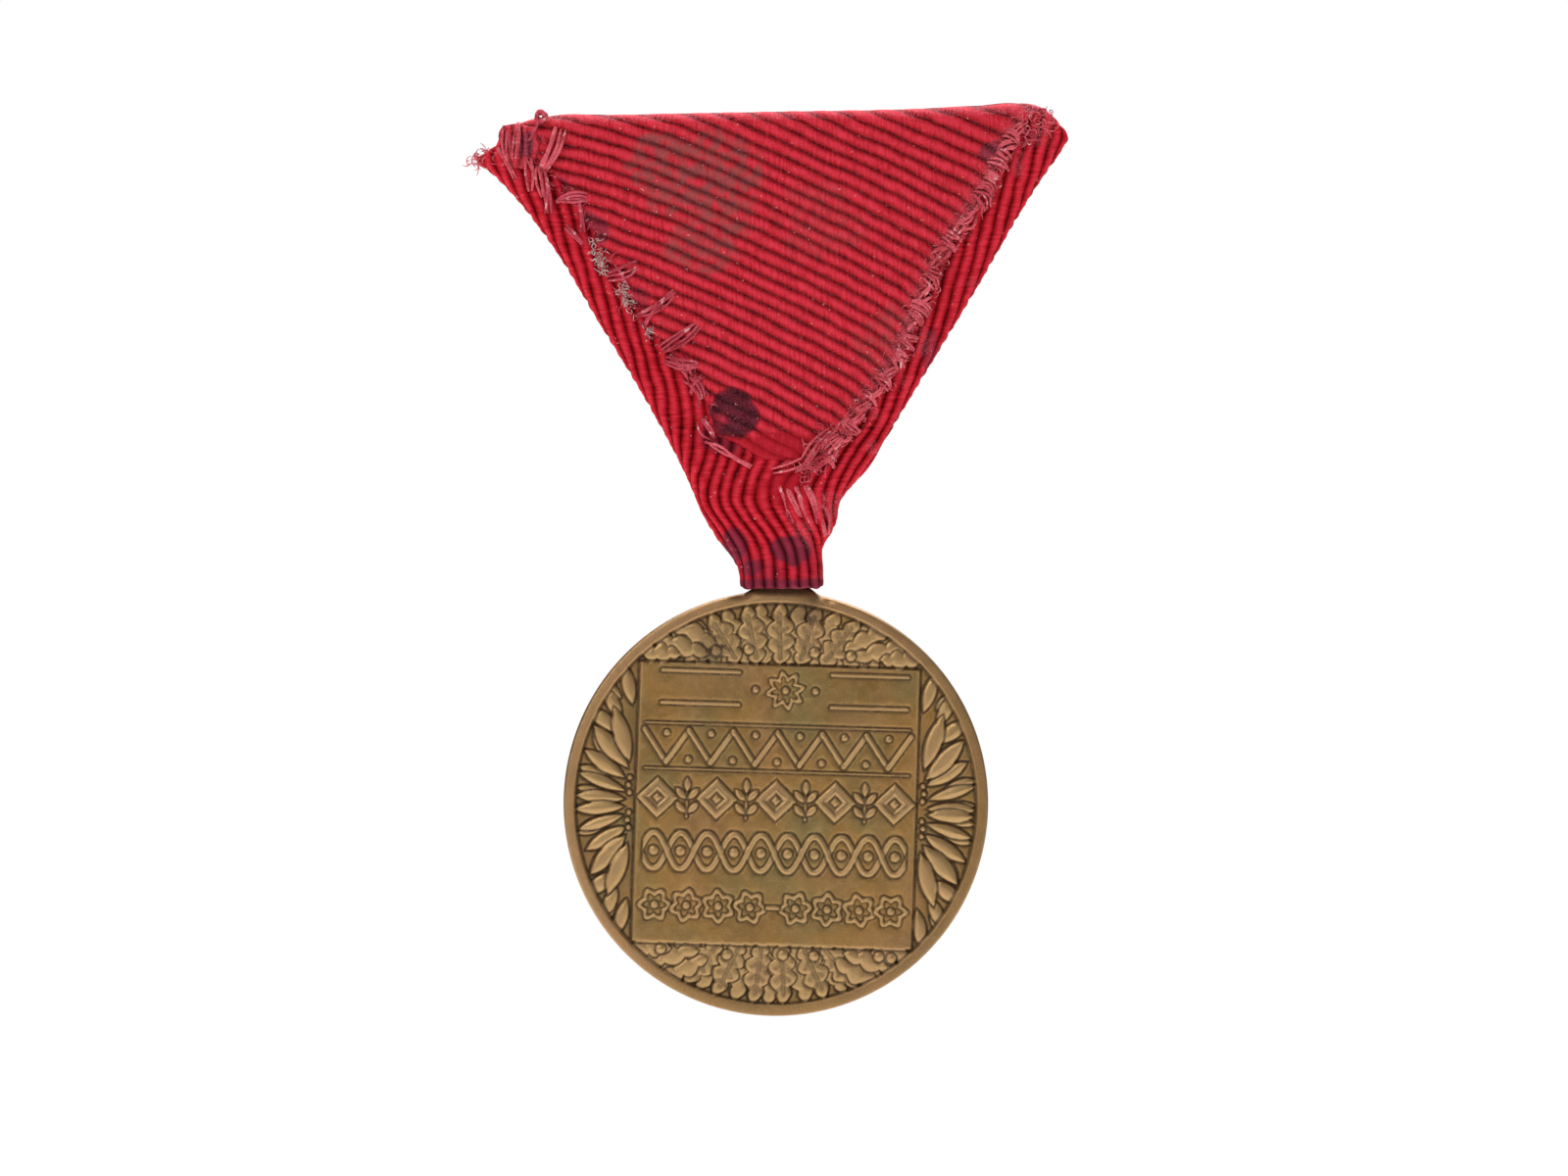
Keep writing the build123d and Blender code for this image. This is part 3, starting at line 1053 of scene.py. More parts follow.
@dataclass
class FrontRibbon:
    """The worn face of the triangle, with the fold along the top.

    Attributes:
        rib_depth: How deep the grooves are.
        lap: How far the left half stands over the right one.
        thick: Thickness of the cloth.
        lining: Y that its hidden side keeps behind, past the stiffening cloth.
        lowest: Z where the neck takes over.
        fold_radius: Roundness of the fold along the top.
        top_from: X where its upper edge starts.
        top_wide: How wide its upper edge is.
        slant: How far its ribs rise per millimetre towards the middle.
        pitch: Distance between ribs, measured along Z.
        stain: A grey stain.
        dye: A dark blot where the dye has run.
        rows: Points down it.
        columns: Points across it.
    """

    rib_depth: float = 0.22
    lap: float = 0.3
    thick: float = 0.45
    lining: float = 1.4
    lowest: float = -25.4
    fold_radius: float = 1.1
    top_from: float = -22.3
    top_wide: float = 43.9
    slant: float = 0.92
    pitch: float = 1.4
    stain: Blot = Blot((6.0, -7.0), (4.0, 3.0), 89, 0.5)
    dye: Blot = Blot((-9.0, -16.0), (1.6, 2.0), 91, 0.5)
    rows: int = 265
    columns: int = 281

    def build(self, shape: FoldedRibbon, finish: Material) -> Piece:
        """Builds the front.

        Args:
            shape: The whole ribbon's shape.
            finish: The cloth.

        Returns:
            The piece.
        """
        t = spread(self.rows, 0.4)[:, None]
        s = spread(self.columns, 0.6)[None, :]
        top = shape.top.at(self.top_from + self.top_wide * s)
        z = top + (self.lowest - top) * t
        left, right = shape.left.at(z), shape.right.at(z)
        x = left + (right - left) * s
        skin, out = shape.skin(x, z, Face.WORN)
        already = shape.middle(z) + shape.half(z) - skin[..., 1]
        skin[..., 1] -= np.clip(roll(top - z, self.fold_radius) - already, 0, None)
        crossing = -1.2 + 0.26 * (z + 14.0) + 0.25 * lumps(z * 0, z, 4.0, 81)
        over = ease(0.12, -0.12, x - crossing)
        flat = ease(0.3, 1.6, np.minimum(x - left, right - x)) * ease(0.2, 2.5, top - z)
        skin[..., 1] += self.lap * (over - 0.5) * flat
        along = shape.unrolled(x, z)
        left_phase = (z - self.slant * along + 0.3 * lumps(x, z, 6.0, 83)) / self.pitch
        right_phase = (z + self.slant * along + 0.3 * lumps(x, z, 6.0, 85)) / self.pitch
        phase = np.where(x < crossing, left_phase, right_phase) + 0.08 * lumps(x, z, 1.2, 87)
        joint = np.exp(-((x - crossing - 0.15) / 0.16) ** 2)
        rib = rib_of(phase) * (1 - 0.8 * joint)
        depth = self.rib_depth * ease(0.0, 1.2, top - z)
        outer = skin - out * ((1 - rib) * depth)[..., None] - [0.0, 0.0, 0.06]
        lining = skin - out * self.thick
        lining[..., 1] = np.maximum(lining[..., 1], self.lining)
        fade = 0.2 + 0.4 * ease(0.8, 0.0, np.minimum(x - left, right - x))
        marks = {"rib": rib, "stain": self.stain.at(x, z), "dye": self.dye.at(x, z), "fade": fade,
                 "glue": 0 * x}
        weave = np.stack([x * 1.36, phase * 1.03], axis=-1)
        shell = doubled(outer, lining, marks, weave)
        shell.faces = [f[:, ::-1] for f in shell.faces]
        return shell.build("front_cloth", finish)


@dataclass
class GatheredNeck:
    """The ribbon's lower corner, gathered to a tube that hides the ring, hemmed at its mouth.

    Attributes:
        highest: Z where it takes over from the triangle.
        mouth: Z of the hem.
        cavity_top: Z of the inside's upper end.
        wall: Thickness of the gathered cloth.
        hem_roll: How far the hem rounds over below the mouth.
        hem_swell: How much the hem stands out.
        hem_wave: How much the hem goes up and down.
        hidden_pitch: Distance between the ribs of its worn side.
        rows: Points down it.
        columns: Points across one face.
        bend_steps: Points round the hem, from the outside to the inside.
        inner_rows: Points up the inside.
    """

    highest: float = -25.4
    mouth: float = -37.95
    cavity_top: float = -32.3
    wall: float = 0.42
    hem_roll: float = 0.3
    hem_swell: float = 0.24
    hem_wave: float = 0.1
    hidden_pitch: float = 0.95
    rows: int = 170
    columns: int = 190
    bend_steps: int = 12
    inner_rows: int = 19

    def ring(self, shape: FoldedRibbon, z: float, inset: float) -> tuple[Array, Array]:
        """One closed loop round the neck.

        Args:
            shape: The whole ribbon's shape.
            z: Its height.
            inset: How far inside the outer skin it runs.

        Returns:
            Its points, and the directions out of them.
        """
        left, right = float(shape.left.at(z)), float(shape.right.at(z))
        x = left + (right - left) * spread(self.columns, 0.55)
        heights = np.full_like(x, z)
        near, near_out = shape.skin(x, heights, Face.SEWN)
        far, far_out = shape.skin(x[::-1], heights, Face.WORN)
        loops, outs = [], []
        for face, out, end in ((near, near_out, far[0]), (far, far_out, near[0])):
            steps = np.linspace(0.0, 1.0, 8)[1:-1, None]
            loops += [face, face[-1] * (1 - steps) + end * steps]
            outs += [out, np.repeat(out[-1:], len(steps), axis=0)]
        points, out = np.concatenate(loops), np.concatenate(outs)
        return points - out * inset, out

    def build(self, shape: FoldedRibbon, finish: Material) -> Piece:
        """Builds the neck.

        Args:
            shape: The whole ribbon's shape.
            finish: The cloth.

        Returns:
            The piece.
        """
        bend = np.linspace(0.0, math.pi, self.bend_steps + 1)[1:]
        heights = [*np.linspace(self.highest, self.mouth, self.rows),
                   *(self.mouth - self.hem_roll * np.sin(bend)),
                   *np.linspace(self.mouth, self.cavity_top, self.inner_rows + 1)[1:]]
        insets = [0.0] * self.rows + [*(self.wall / 2 * (1 - np.cos(bend)))] + [self.wall] * self.inner_rows
        loops, outs = zip(*[self.ring(shape, z, inset) for z, inset in zip(heights, insets)])
        points, out = np.stack(loops), np.stack(outs)
        count = points.shape[1]
        x, y, z = points[..., 0], points[..., 1], points[..., 2]
        near = ease(2.3, 1.5, y)
        turn = np.linspace(0, TURN, count, endpoint=False)[None, :] + 0 * z
        far_phase = (shape.unrolled(x, z) - 0.25 * (z - shape.meeting_z)) / self.hidden_pitch
        far_phase = far_phase + 0.15 * lumps(x, z, 2.0, 92)
        phase = np.where(y < shape.middle(z), shape.phase(x, z), far_phase)
        marks = {"rib": rib_of(phase), **shape.soiling(x, z)}
        inside = (np.array(insets) > 0.01)[:, None] * 1.0
        depth = shape.rib_depth * (1.25 - 0.6 * marks["glue"] * near) * (1 - 0.6 * inside)
        hem = ease(self.mouth + 0.9, self.mouth, z) * (1 - inside)
        swell = self.hem_swell * hem * (0.4 + 0.6 * lumps(3.0 * np.cos(turn), 3.0 * np.sin(turn), 0.8, 93))
        points = points + out * (swell - (1 - marks["rib"]) * depth * ease(0.6, 0.0, inside))[..., None]
        wavy = self.hem_wave * ease(self.mouth + 1.5, self.mouth, z)
        points[..., 2] += wavy * lumps(6.0 * np.cos(turn), 6.0 * np.sin(turn), 1.0, 94)
        marks["glue"] = marks["glue"] * near
        rings = len(points)
        hubs = [points[:1].mean(axis=1), points[-1:].mean(axis=1)]
        total = rings * count
        lid, end = fan_faces(total, 0, count), fan_faces(total + 1, total - count, count, flip=True)
        faces = [grid_faces(rings, count, wrap=True), lid, end]
        extra = {key: np.concatenate([v.ravel(), [0.5, 0.5]]) for key, v in marks.items()}
        weave = np.concatenate([np.stack([z, phase], axis=-1).reshape(-1, 2), np.zeros((2, 2))])
        points = np.concatenate([points.reshape(-1, 3), *hubs])
        return Shell(points, faces, extra, weave).build("neck_cloth", finish)


@dataclass
class RingBight:
    """The tight loop of ribbon through the ring.

    Attributes:
        radius: Outer radius of the loop.
        thick: Thickness of the cloth.
        half_width: Half its width.
        climb: How far its two legs go up.
        pitch: Distance between ribs.
        rib_depth: How deep the grooves are.
        leg_steps: Points up a leg.
    """

    radius: float = 0.95
    thick: float = 0.3
    half_width: float = 0.7
    climb: float = 1.2
    pitch: float = 0.5
    rib_depth: float = 0.06
    leg_steps: int = 8

    def build(self, bend: Vector, finish: Material) -> Piece:
        """Builds the loop.

        Args:
            bend: The bend's axis in metres.
            finish: The cloth.

        Returns:
            The piece.
        """
        turn = np.linspace(-math.pi / 2, math.pi / 2, 41)
        steps = self.leg_steps
        leg = np.linspace(1.0, 0.0, steps + 1)[:-1] * self.climb
        y = np.concatenate([np.full(steps, -1.0), np.sin(turn), np.full(steps, 1.0)])[:, None]
        z = np.concatenate([leg, -np.cos(turn) * self.radius, leg[::-1]])[:, None]
        out_z = np.concatenate([np.zeros(steps), -np.cos(turn), np.zeros(steps)])[:, None]
        x = np.linspace(-self.half_width, self.half_width, 17)
        rib = rib_of(x / self.pitch)[None, :] + 0 * y
        near = self.radius - self.rib_depth * (1 - rib)
        middle = [axis / MM for axis in bend]
        across = x[None, :] + middle[0] + 0 * rib
        low = z / self.radius
        up = middle[2] + np.where(low < 0, low * near, z)
        outer = np.stack([across, middle[1] + y * near, up], axis=-1)
        out = np.stack([0 * rib, y + 0 * rib, out_z + 0 * rib], axis=-1)
        inner = outer - out * self.thick
        marks = {"rib": rib, "stain": 0 * rib, "dye": 0.4 + 0 * rib, "fade": 0 * rib, "glue": 0 * rib}
        weave = np.stack([outer[..., 2], across * 2], axis=-1)
        return doubled(outer, inner, marks, weave).build("bight_cloth", finish)


@dataclass
class Stiffener:
    """Open-weave stiffening cloth inside the triangle.

    Attributes:
        corners: X and Z of its corners, from the top left round to the right.
        near: Y of its near face.
        thick: Thickness.
    """

    corners: tuple[Pair, ...] = ((-19.5, -2.4), (19.0, -1.6), (4.6, -24.9), (-6.4, -24.9))
    near: float = 1.42
    thick: float = 0.26

    def build(self, finish: Material) -> Piece:
        """Builds the cloth.

        Args:
            finish: Its material.

        Returns:
            The piece.
        """
        s = np.linspace(0.0, 1.0, 81)[None, :, None]
        t = np.linspace(0.0, 1.0, 61)[:, None, None]
        a, b, c, d = [np.array(corner) for corner in self.corners]
        place = (a * (1 - s) + b * s) * (1 - t) + (d * (1 - s) + c * s) * t
        x, z = place[..., 0], place[..., 1]
        y = self.near + 0.04 * lumps(x, z, 4.0, 95)
        outer = np.stack([x, y, z], axis=-1)
        inner = outer + [0, self.thick, 0]
        return doubled(outer, inner, {}, np.stack([x, z], axis=-1)).build("stiffening_cloth", finish)


# -------- sewing


@dataclass(frozen=True)
class Bundle:
    """A few strands of thread that lie side by side in one stitch.

    Attributes:
        start: X and Z of one end.
        end: X and Z of the other.
        strands: How many strands.
        bow: How far the middle bows sideways.
        height: Y of its middle.
        radius: Thickness of a strand, halved.
    """

    start: Pair
    end: Pair
    strands: int = 3
    bow: float = 0.15
    height: float = -0.16
    radius: float = 0.13

    def build(self, rng: np.random.Generator, sunk: float = 0.35) -> list[Shell]:
        """Builds the strands.

        Args:
            rng: Where its unevenness comes from.
            sunk: Y of its two ends, where it goes into the cloth.

        Returns:
            One shell to a strand.
        """
        a, b = np.array(self.start), np.array(self.end)
        along = b - a
        length = float(np.linalg.norm(along))
        side = np.array([-along[1], along[0]]) / length
        t = np.linspace(0.0, 1.0, 15)
        arch = np.sin(math.pi * t)
        shells = []
        for i in range(self.strands):
            shift = (i - (self.strands - 1) / 2) * self.radius * 1.75
            ends = rng.normal(0.0, 0.13, 4)
            sway = self.bow + rng.normal(0.0, 0.1)
            across = shift * (0.55 + 0.45 * arch) + sway * arch + ends[0] * (1 - t) + ends[1] * t
            flat = a + along * t[:, None] + side * across[:, None]
            y = sunk + (self.height - sunk + rng.normal(0.0, 0.03)) * np.minimum(1.0, arch * 1.7)
            line = np.stack([flat[:, 0], y, flat[:, 1]], axis=1)
            size = self.radius * (1 + rng.normal(0.0, 0.08)) * (0.75 + 0.25 * arch)
            shells.append(tube(line, size, 9, 3, length / 0.9))
        return shells


def fluff(centres: Array | tuple[Triple, ...], count: int, reach: Triple, length: float, thin: float,
          rng: np.random.Generator) -> list[Shell]:
    """Loose curly fibres that stand out of frayed cloth.

    Args:
        centres: Points round which they lie.
        count: How many fibres.
        reach: How far they stray along X, Y and Z.
        length: How long a fibre is.
        thin: Radius of a fibre.
        rng: Where their unevenness comes from.

    Returns:
        One shell to a fibre.
    """
    shells = []
    for _ in range(count):
        centre = np.asarray(centres)[rng.integers(len(centres))] + rng.normal(0.0, 1.0, 3) * reach
        heading = rng.uniform(0, TURN)
        curl = rng.normal(0.0, 2.6)
        t = np.linspace(0.0, 1.0, 8)
        turn = heading + curl * t
        steps = np.stack([np.cos(turn), 0.35 * np.sin(3 * turn + heading), np.sin(turn)], axis=1)
        line = centre + np.cumsum(steps, axis=0) * length * rng.uniform(0.5, 1.3) / 8
        shells.append(tube(line, thin * (1.15 - 0.6 * np.abs(2 * t - 1)), 4))
    return shells


@dataclass
class Sewing:
    """All the hand stitches, the frayed edges and the folded corner.

    Attributes:
        left_bundles: Stitches along the left seam.
        lower_bundles: Stitches along the panel's lower edge.
        tack_bundles: Long stitches down the neck.
        corner_bundles: Stitches round the left corner.
        left_frays: Where grey lint shows in the left seam, as X and Z.
        low_frays: Points round which fibres stand out of the panel's lower edge.
        left_tip: The same at the ribbon's left tip.
        right_tip: The same at its right tip.
        whip_step: Distance between the right seam's whip stitches.
    """

    left_bundles: tuple[Bundle, ...] = (
        Bundle((-17.9, -7.3), (-15.2, -7.1), 4, 0.12), Bundle((-16.0, -7.0), (-15.9, -9.7), 2, -0.1),
        Bundle((-18.9, -4.4), (-18.6, -8.2), 3, 0.15), Bundle((-17.2, -9.4), (-15.8, -10.6), 2, 0.2),
        Bundle((-14.0, -13.3), (-11.3, -12.0), 4, -0.2), Bundle((-13.3, -12.2), (-12.0, -14.2), 2, 0.1),
        Bundle((-11.6, -16.5), (-8.3, -14.3), 4, -0.35), Bundle((-10.9, -17.2), (-9.0, -15.3), 2, 0.3),
        Bundle((-9.4, -19.2), (-6.2, -16.9), 4, -0.3), Bundle((-9.2, -20.0), (-6.3, -20.4), 4, -0.15),
        Bundle((-8.9, -19.6), (-7.2, -21.6), 3, 0.1), Bundle((-7.4, -21.4), (-6.2, -23.0), 3, 0.2),
        Bundle((-7.2, -22.6), (-6.0, -21.3), 2, 0.2), Bundle((-6.4, -24.8), (-5.3, -26.2), 3, -0.1))
    lower_bundles: tuple[Bundle, ...] = (
        Bundle((-5.9, -26.4), (-3.9, -27.6), 2, 0.1, -0.02),
        Bundle((-4.4, -27.2), (-2.4, -28.6), 2, -0.2, -0.02),
        Bundle((-0.6, -28.9), (2.2, -27.9), 2, -0.15), Bundle((2.0, -28.3), (4.1, -25.5), 3, 0.25, -0.3),
        Bundle((1.7, -28.7), (3.4, -26.2), 3, -0.1, -0.25),
        Bundle((2.4, -28.9), (4.6, -27.5), 3, 0.2, -0.2),
        Bundle((3.3, -27.6), (4.9, -26.0), 3, 0.1, -0.25),
        Bundle((1.2, -28.9), (3.2, -28.6), 2, 0.1, -0.1))
    tack_bundles: tuple[Bundle, ...] = (
        Bundle((-0.4, -29.6), (0.9, -33.0), 2, 0.1, 0.25, 0.14),
        Bundle((0.7, -29.8), (1.9, -32.9), 3, 0.12, 0.18, 0.16),
        Bundle((1.6, -29.6), (3.0, -33.6), 4, 0.2, 0.1, 0.17),
        Bundle((2.6, -31.2), (3.6, -34.0), 3, 0.2, 0.12, 0.15),
        Bundle((3.2, -30.3), (3.9, -32.4), 2, 0.1, 0.3, 0.14),
        Bundle((0.2, -31.6), (1.2, -33.3), 2, -0.1, 0.2, 0.14))
    corner_bundles: tuple[Bundle, ...] = (
        Bundle((-17.7, -1.2), (-19.1, -4.9), 4, 0.25, -0.45, 0.16),
        Bundle((-20.9, -1.0), (-21.2, -4.2), 3, 0.1, -0.4),
        Bundle((-21.9, -1.3), (-21.6, -4.4), 3, -0.1, -0.15),
        Bundle((-20.2, -3.6), (-19.9, -6.4), 3, 0.1, -0.2),
        Bundle((-22.6, -3.0), (-21.2, -5.4), 2, 0.1, 0.1),
        Bundle((-19.4, -4.4), (-19.1, -6.9), 2, -0.1, -0.2))
    left_frays: tuple[Pair, ...] = (
        (-14.9, -10.9), (-14.4, -12.0), (-14.1, -12.6), (-12.7, -14.4), (-12.3, -15.1), (-12.0, -15.6),
        (-10.5, -17.7))
    low_frays: tuple[Triple, ...] = (
        (3.4, -0.2, -26.8), (2.8, -0.2, -28.0), (3.9, -0.1, -26.0), (2.0, -0.1, -28.6))
    left_tip: tuple[Triple, ...] = ((-24.2, 0.9, -4.0), (-23.7, 0.8, -3.8), (-23.2, 0.8, -3.6))
    right_tip: tuple[Triple, ...] = ((20.4, 0.2, -1.2), (21.2, 0.3, -0.6), (19.8, 0.0, -2.2))
    whip_step: float = 0.72

    def right_seam(self, panel: BackPanel) -> tuple[list[Shell], Array]:
        """Builds the whip stitches of the right seam.

        Args:
            panel: The panel that they hold.

        Returns:
            The strands, and points along the seam.
        """
        rng = np.random.default_rng(301)
        z = np.arange(-1.4, -28.2, -self.whip_step)
        x = panel.right.at(z)
        shells = []
        for place_x, place_z in zip(x, z):
            dx, dz = rng.normal(0.0, 0.14, 2)
            start = (place_x - 0.75 + dx, place_z + 0.35 + dz)
            end = (place_x + 0.35 - dx, place_z - 0.5 - dz)
            if rng.random() < 0.35:
                start, end = (start[0], end[1]), (end[0], start[1])
            strands, bow = int(rng.integers(2, 5)), rng.normal(0.0, 0.2)
            shells += Bundle(start, end, strands, bow, -0.24, 0.13).build(rng)
        along = np.linspace(-0.6, -28.3, 80)
        return shells, np.stack([panel.right.at(along) - 0.25, 0 * along - 0.05, along], axis=1)

    def build(self, panel: BackPanel, cotton: Material, worn: Material, lint: Material) -> dict[str, Piece]:
        """Builds every stitched piece.

        Args:
            panel: The panel that the seams hold.
            cotton: The thread.
            worn: The thread where wear has bleached it.
            lint: The grey fibres.

        Returns:
            The pieces by the node that each stands for, and the lint.
        """
        rng = np.random.default_rng(300)
        strands, line = self.right_seam(panel)
        strands += fluff(line, 520, (0.38, 0.14, 0.3), 0.8, 0.04, rng)
        made = {"right_seam_stitches": joined(strands).build("right_seam_thread", worn)}
        seam = np.linspace(-4.0, -25.0, 60)
        left_line = np.stack([panel.left.at(seam), 0 * seam + 0.1, seam], axis=1)
        # Each piece's stitches, how deep they go in, and its frays: where, how many, reach, length, thinness.
        plan = (
            ("left_seam", self.left_bundles, 0.35, cotton, (left_line, 110, (0.3, 0.1, 0.3), 0.8, 0.04)),
            ("lower_edge", self.lower_bundles, 0.3, worn, (self.low_frays, 70, (0.5, 0.12, 0.4), 1.1, 0.05)),
            ("neck_tack", self.tack_bundles, 0.6, worn),
            ("corner", self.corner_bundles, 0.5, worn, (self.left_tip, 110, (0.35, 0.2, 0.22), 0.8, 0.035),
             (self.right_tip, 60, (0.4, 0.15, 0.4), 0.9, 0.045)))
        for place, bundles, sunk, finish, *frays in plan:
            strands = [strand for bundle in bundles for strand in bundle.build(rng, sunk)]
            for fray in frays:
                strands += fluff(*fray, rng)
            made[place + "_stitches"] = joined(strands).build(place + "_thread", finish)
        made["corner_knot"] = self.knot().build("thread_knot", cotton)
        frays = np.array([[x, 0.1, z] for x, z in self.left_frays])
        grey = fluff(frays, 150, (0.14, 0.06, 0.3), 0.6, 0.025, rng)
        made["seam_lint"] = joined(grey).build("seam_lint", lint)
        return made

    def knot(self) -> Shell:
        """Builds the knot that ends the thread at the left corner.

        Returns:
            Three turns of thread drawn tight, with a loose end.
        """
        t = np.linspace(0.0, 1.0, 60)
        turn = TURN * 3 * t
        reach = 0.34 + 0.1 * np.cos(turn * 1.5)
        height = -0.25 + 0.25 * np.sin(turn * 1.5)
        line = np.stack([-19.1 + reach * np.cos(turn), height, -0.55 + reach * np.sin(turn)], axis=1)
        ends = np.array([[-19.3, -0.2, -0.9], [-19.6, -0.15, -1.6], [-19.9, -0.1, -2.2], [-20.2, 0.1, -2.6]])
        loose = np.stack([np.interp(np.linspace(0, 3, 14), range(4), ends[:, i]) for i in range(3)], axis=1)
        return joined([tube(line, np.full(60, 0.17), 9, 3, 10), tube(loose, np.full(14, 0.12), 9, 3, 3)])


@dataclass
class CornerFold:
    """The ribbon's raw end, folded in at the left corner and creased downwards.

    Attributes:
        centre: X and Z of its middle.
        size: Its half width and half height.
        rise: How far it stands over the cloth.
        pitch: Distance between its creases.
        crease: How deep they are.
        back: Y of its flat back, inside the ribbon.
        dark: A blot of run dye.
    """

    centre: Pair = (-20.6, -2.7)
    size: Pair = (1.95, 1.75)
    rise: float = 0.6
    pitch: float = 0.72
    crease: float = 0.28
    back: float = 0.62
    dark: Blot = Blot((-20.2, -2.9), (0.8, 1.0), 97)

    def build(self, shape: FoldedRibbon, finish: Material) -> Piece:
        """Builds the fold.

        Args:
            shape: The whole ribbon's shape.
            finish: The cloth.

        Returns:
            The piece.
        """
        u = np.linspace(-1.0, 1.0, 65)
        a, b = np.meshgrid(u, u)
        disc_x = a * np.sqrt(1 - b * b / 2)
        disc_z = -b * np.sqrt(1 - a * a / 2)
        reach = np.hypot(disc_x, disc_z)
        grow = 1 + 0.14 * np.sin(3 * np.arctan2(disc_z, disc_x) + 0.6)
        x = self.centre[0] + disc_x * self.size[0] * grow
        z = self.centre[1] + disc_z * self.size[1] * grow
        z = np.minimum(z, shape.top.at(x) - 0.02 + 0.12 * (1 - reach))
        crease = rib_of((x + 0.12 * (z - self.centre[1]) ** 2 + 0.2 * lumps(x, z, 1.1, 96)) / self.pitch)
        dome = np.sqrt(np.clip(1 - reach ** 2.6, 0, 1))
        y = 0.35 - dome * self.rise - self.crease * (crease - 1) * dome
        dye = np.clip(self.dark.at(x, z) + 0.15, 0, 1)
        marks = {"rib": crease, "stain": 0 * x, "dye": dye, "fade": 0.35 + 0 * x, "glue": 0.2 + 0 * x}
        outer = np.stack([x, y, z], axis=-1)
        inner = np.stack([x, np.full_like(x, self.back), z], axis=-1)
        return doubled(outer, inner, marks, np.stack([z, x], axis=-1)).build("corner_fold", finish)


# -------- medal

Outline = Callable[[Array, Array], Array]


def bar(a: Pair, b: Pair, half: float) -> Outline:
    """A straight stroke with round ends.

    Args:
        a: One end.
        b: The other end.
        half: Half its width.

    Returns:
        Its outline as a signed distance, negative inside.
    """
    run = (b[0] - a[0], b[1] - a[1])
    square = run[0] ** 2 + run[1] ** 2 + 1e-9

    def away(u: Array, v: Array) -> Array:
        """Signed distance from the stroke's outline."""
        share = np.clip(((u - a[0]) * run[0] + (v - a[1]) * run[1]) / square, 0, 1)
        return np.hypot(u - a[0] - share * run[0], v - a[1] - share * run[1]) - half

    return away


def rosette(radius: float, petals: int, depth: float, half: float) -> Outline:
    """A scalloped ring, or a solid flower where half is 0.

    Args:
        radius: Its mean radius.
        petals: How many scallops.
        depth: How deep they are.
        half: Half the ring's width.

    Returns:
        Its outline as a signed distance, negative inside.
    """

    def away(u: Array, v: Array) -> Array:
        """Signed distance from the ring's outline."""
        ripple = depth * np.cos(petals * np.arctan2(v, u))
        reach = np.hypot(u, v) - radius - ripple
        return (np.abs(reach) if half else reach) - half

    return away


def dot(radius: float) -> Outline:
    """A round bead."""
    return rosette(radius, 1, 0.0, 0)


def lozenge(half_u: float, half_v: float) -> Outline:
    """The outline of a diamond from half its width and half its height."""
    scale = half_u * half_v / math.hypot(half_u, half_v)
    return lambda u, v: (np.abs(u) / half_u + np.abs(v) / half_v - 1.0) * scale


def wave(height: float, period: float, shift: float, half: float) -> Outline:
    """A wavy stroke along U.

    Args:
        height: Its amplitude.
        period: Its period.
        shift: Its phase in radians.
        half: Half its width.

    Returns:
        Its outline as a signed distance, negative inside.
    """

    def away(u: Array, v: Array) -> Array:
        """Signed distance from the stroke's outline."""
        angle = TURN * u / period + shift
        slope = height * TURN / period * np.cos(angle)
        return np.abs(v - height * np.sin(angle)) / np.sqrt(1 + slope * slope) - half

    return away


def laurel(length: float, width: float) -> Outline:
    """The outline of a laurel leaf along U from its root, pointed at both ends."""
    bow = (length * length + width * width) / (4 * width)
    return lambda u, v: np.hypot(u - length / 2, np.abs(v) + bow - width / 2) - bow


def oak(length: float, width: float, lobes: float) -> Outline:
    """A lobed oak leaf along U from its root.

    Args:
        length: Its length.
        width: Its width.
        lobes: Lobes down each side.

    Returns:
        Its outline as a signed distance, negative inside.
    """

    def away(u: Array, v: Array) -> Array:
        """Signed distance from the leaf's outline.

        Args:
            u: Places along the leaf.
            v: Places across it.

        Returns:
            The distances, a little small inside.
        """
        share = np.clip(u / length, 0, 1)
        swell = 0.22 + 0.78 * np.sin(math.pi * np.clip(share * 0.86 + 0.1, 0, 1)) ** 1.1
        notch = 0.52 + 0.48 * np.abs(np.sin(math.pi * (lobes * share ** 0.85 + 0.25 * (v > 0)))) ** 0.7
        beyond = np.maximum(np.maximum(-u, u - length), 0.0)
        aside = np.abs(v) - width / 2 * swell * notch
        return np.hypot(np.maximum(aside, 0), beyond) + np.minimum(aside, 0) * 0.8

    return away


QUARTERS = ((1, 1), (1, -1), (-1, 1), (-1, -1))  # right or left, and up or down


def slanted(degrees: float, right: int, up: int) -> float:
    """A slant of so many degrees mirrored into one quarter of the face, in radians."""
    angle = math.radians(degrees)
    return math.atan2(up * math.sin(angle), right * math.cos(angle))


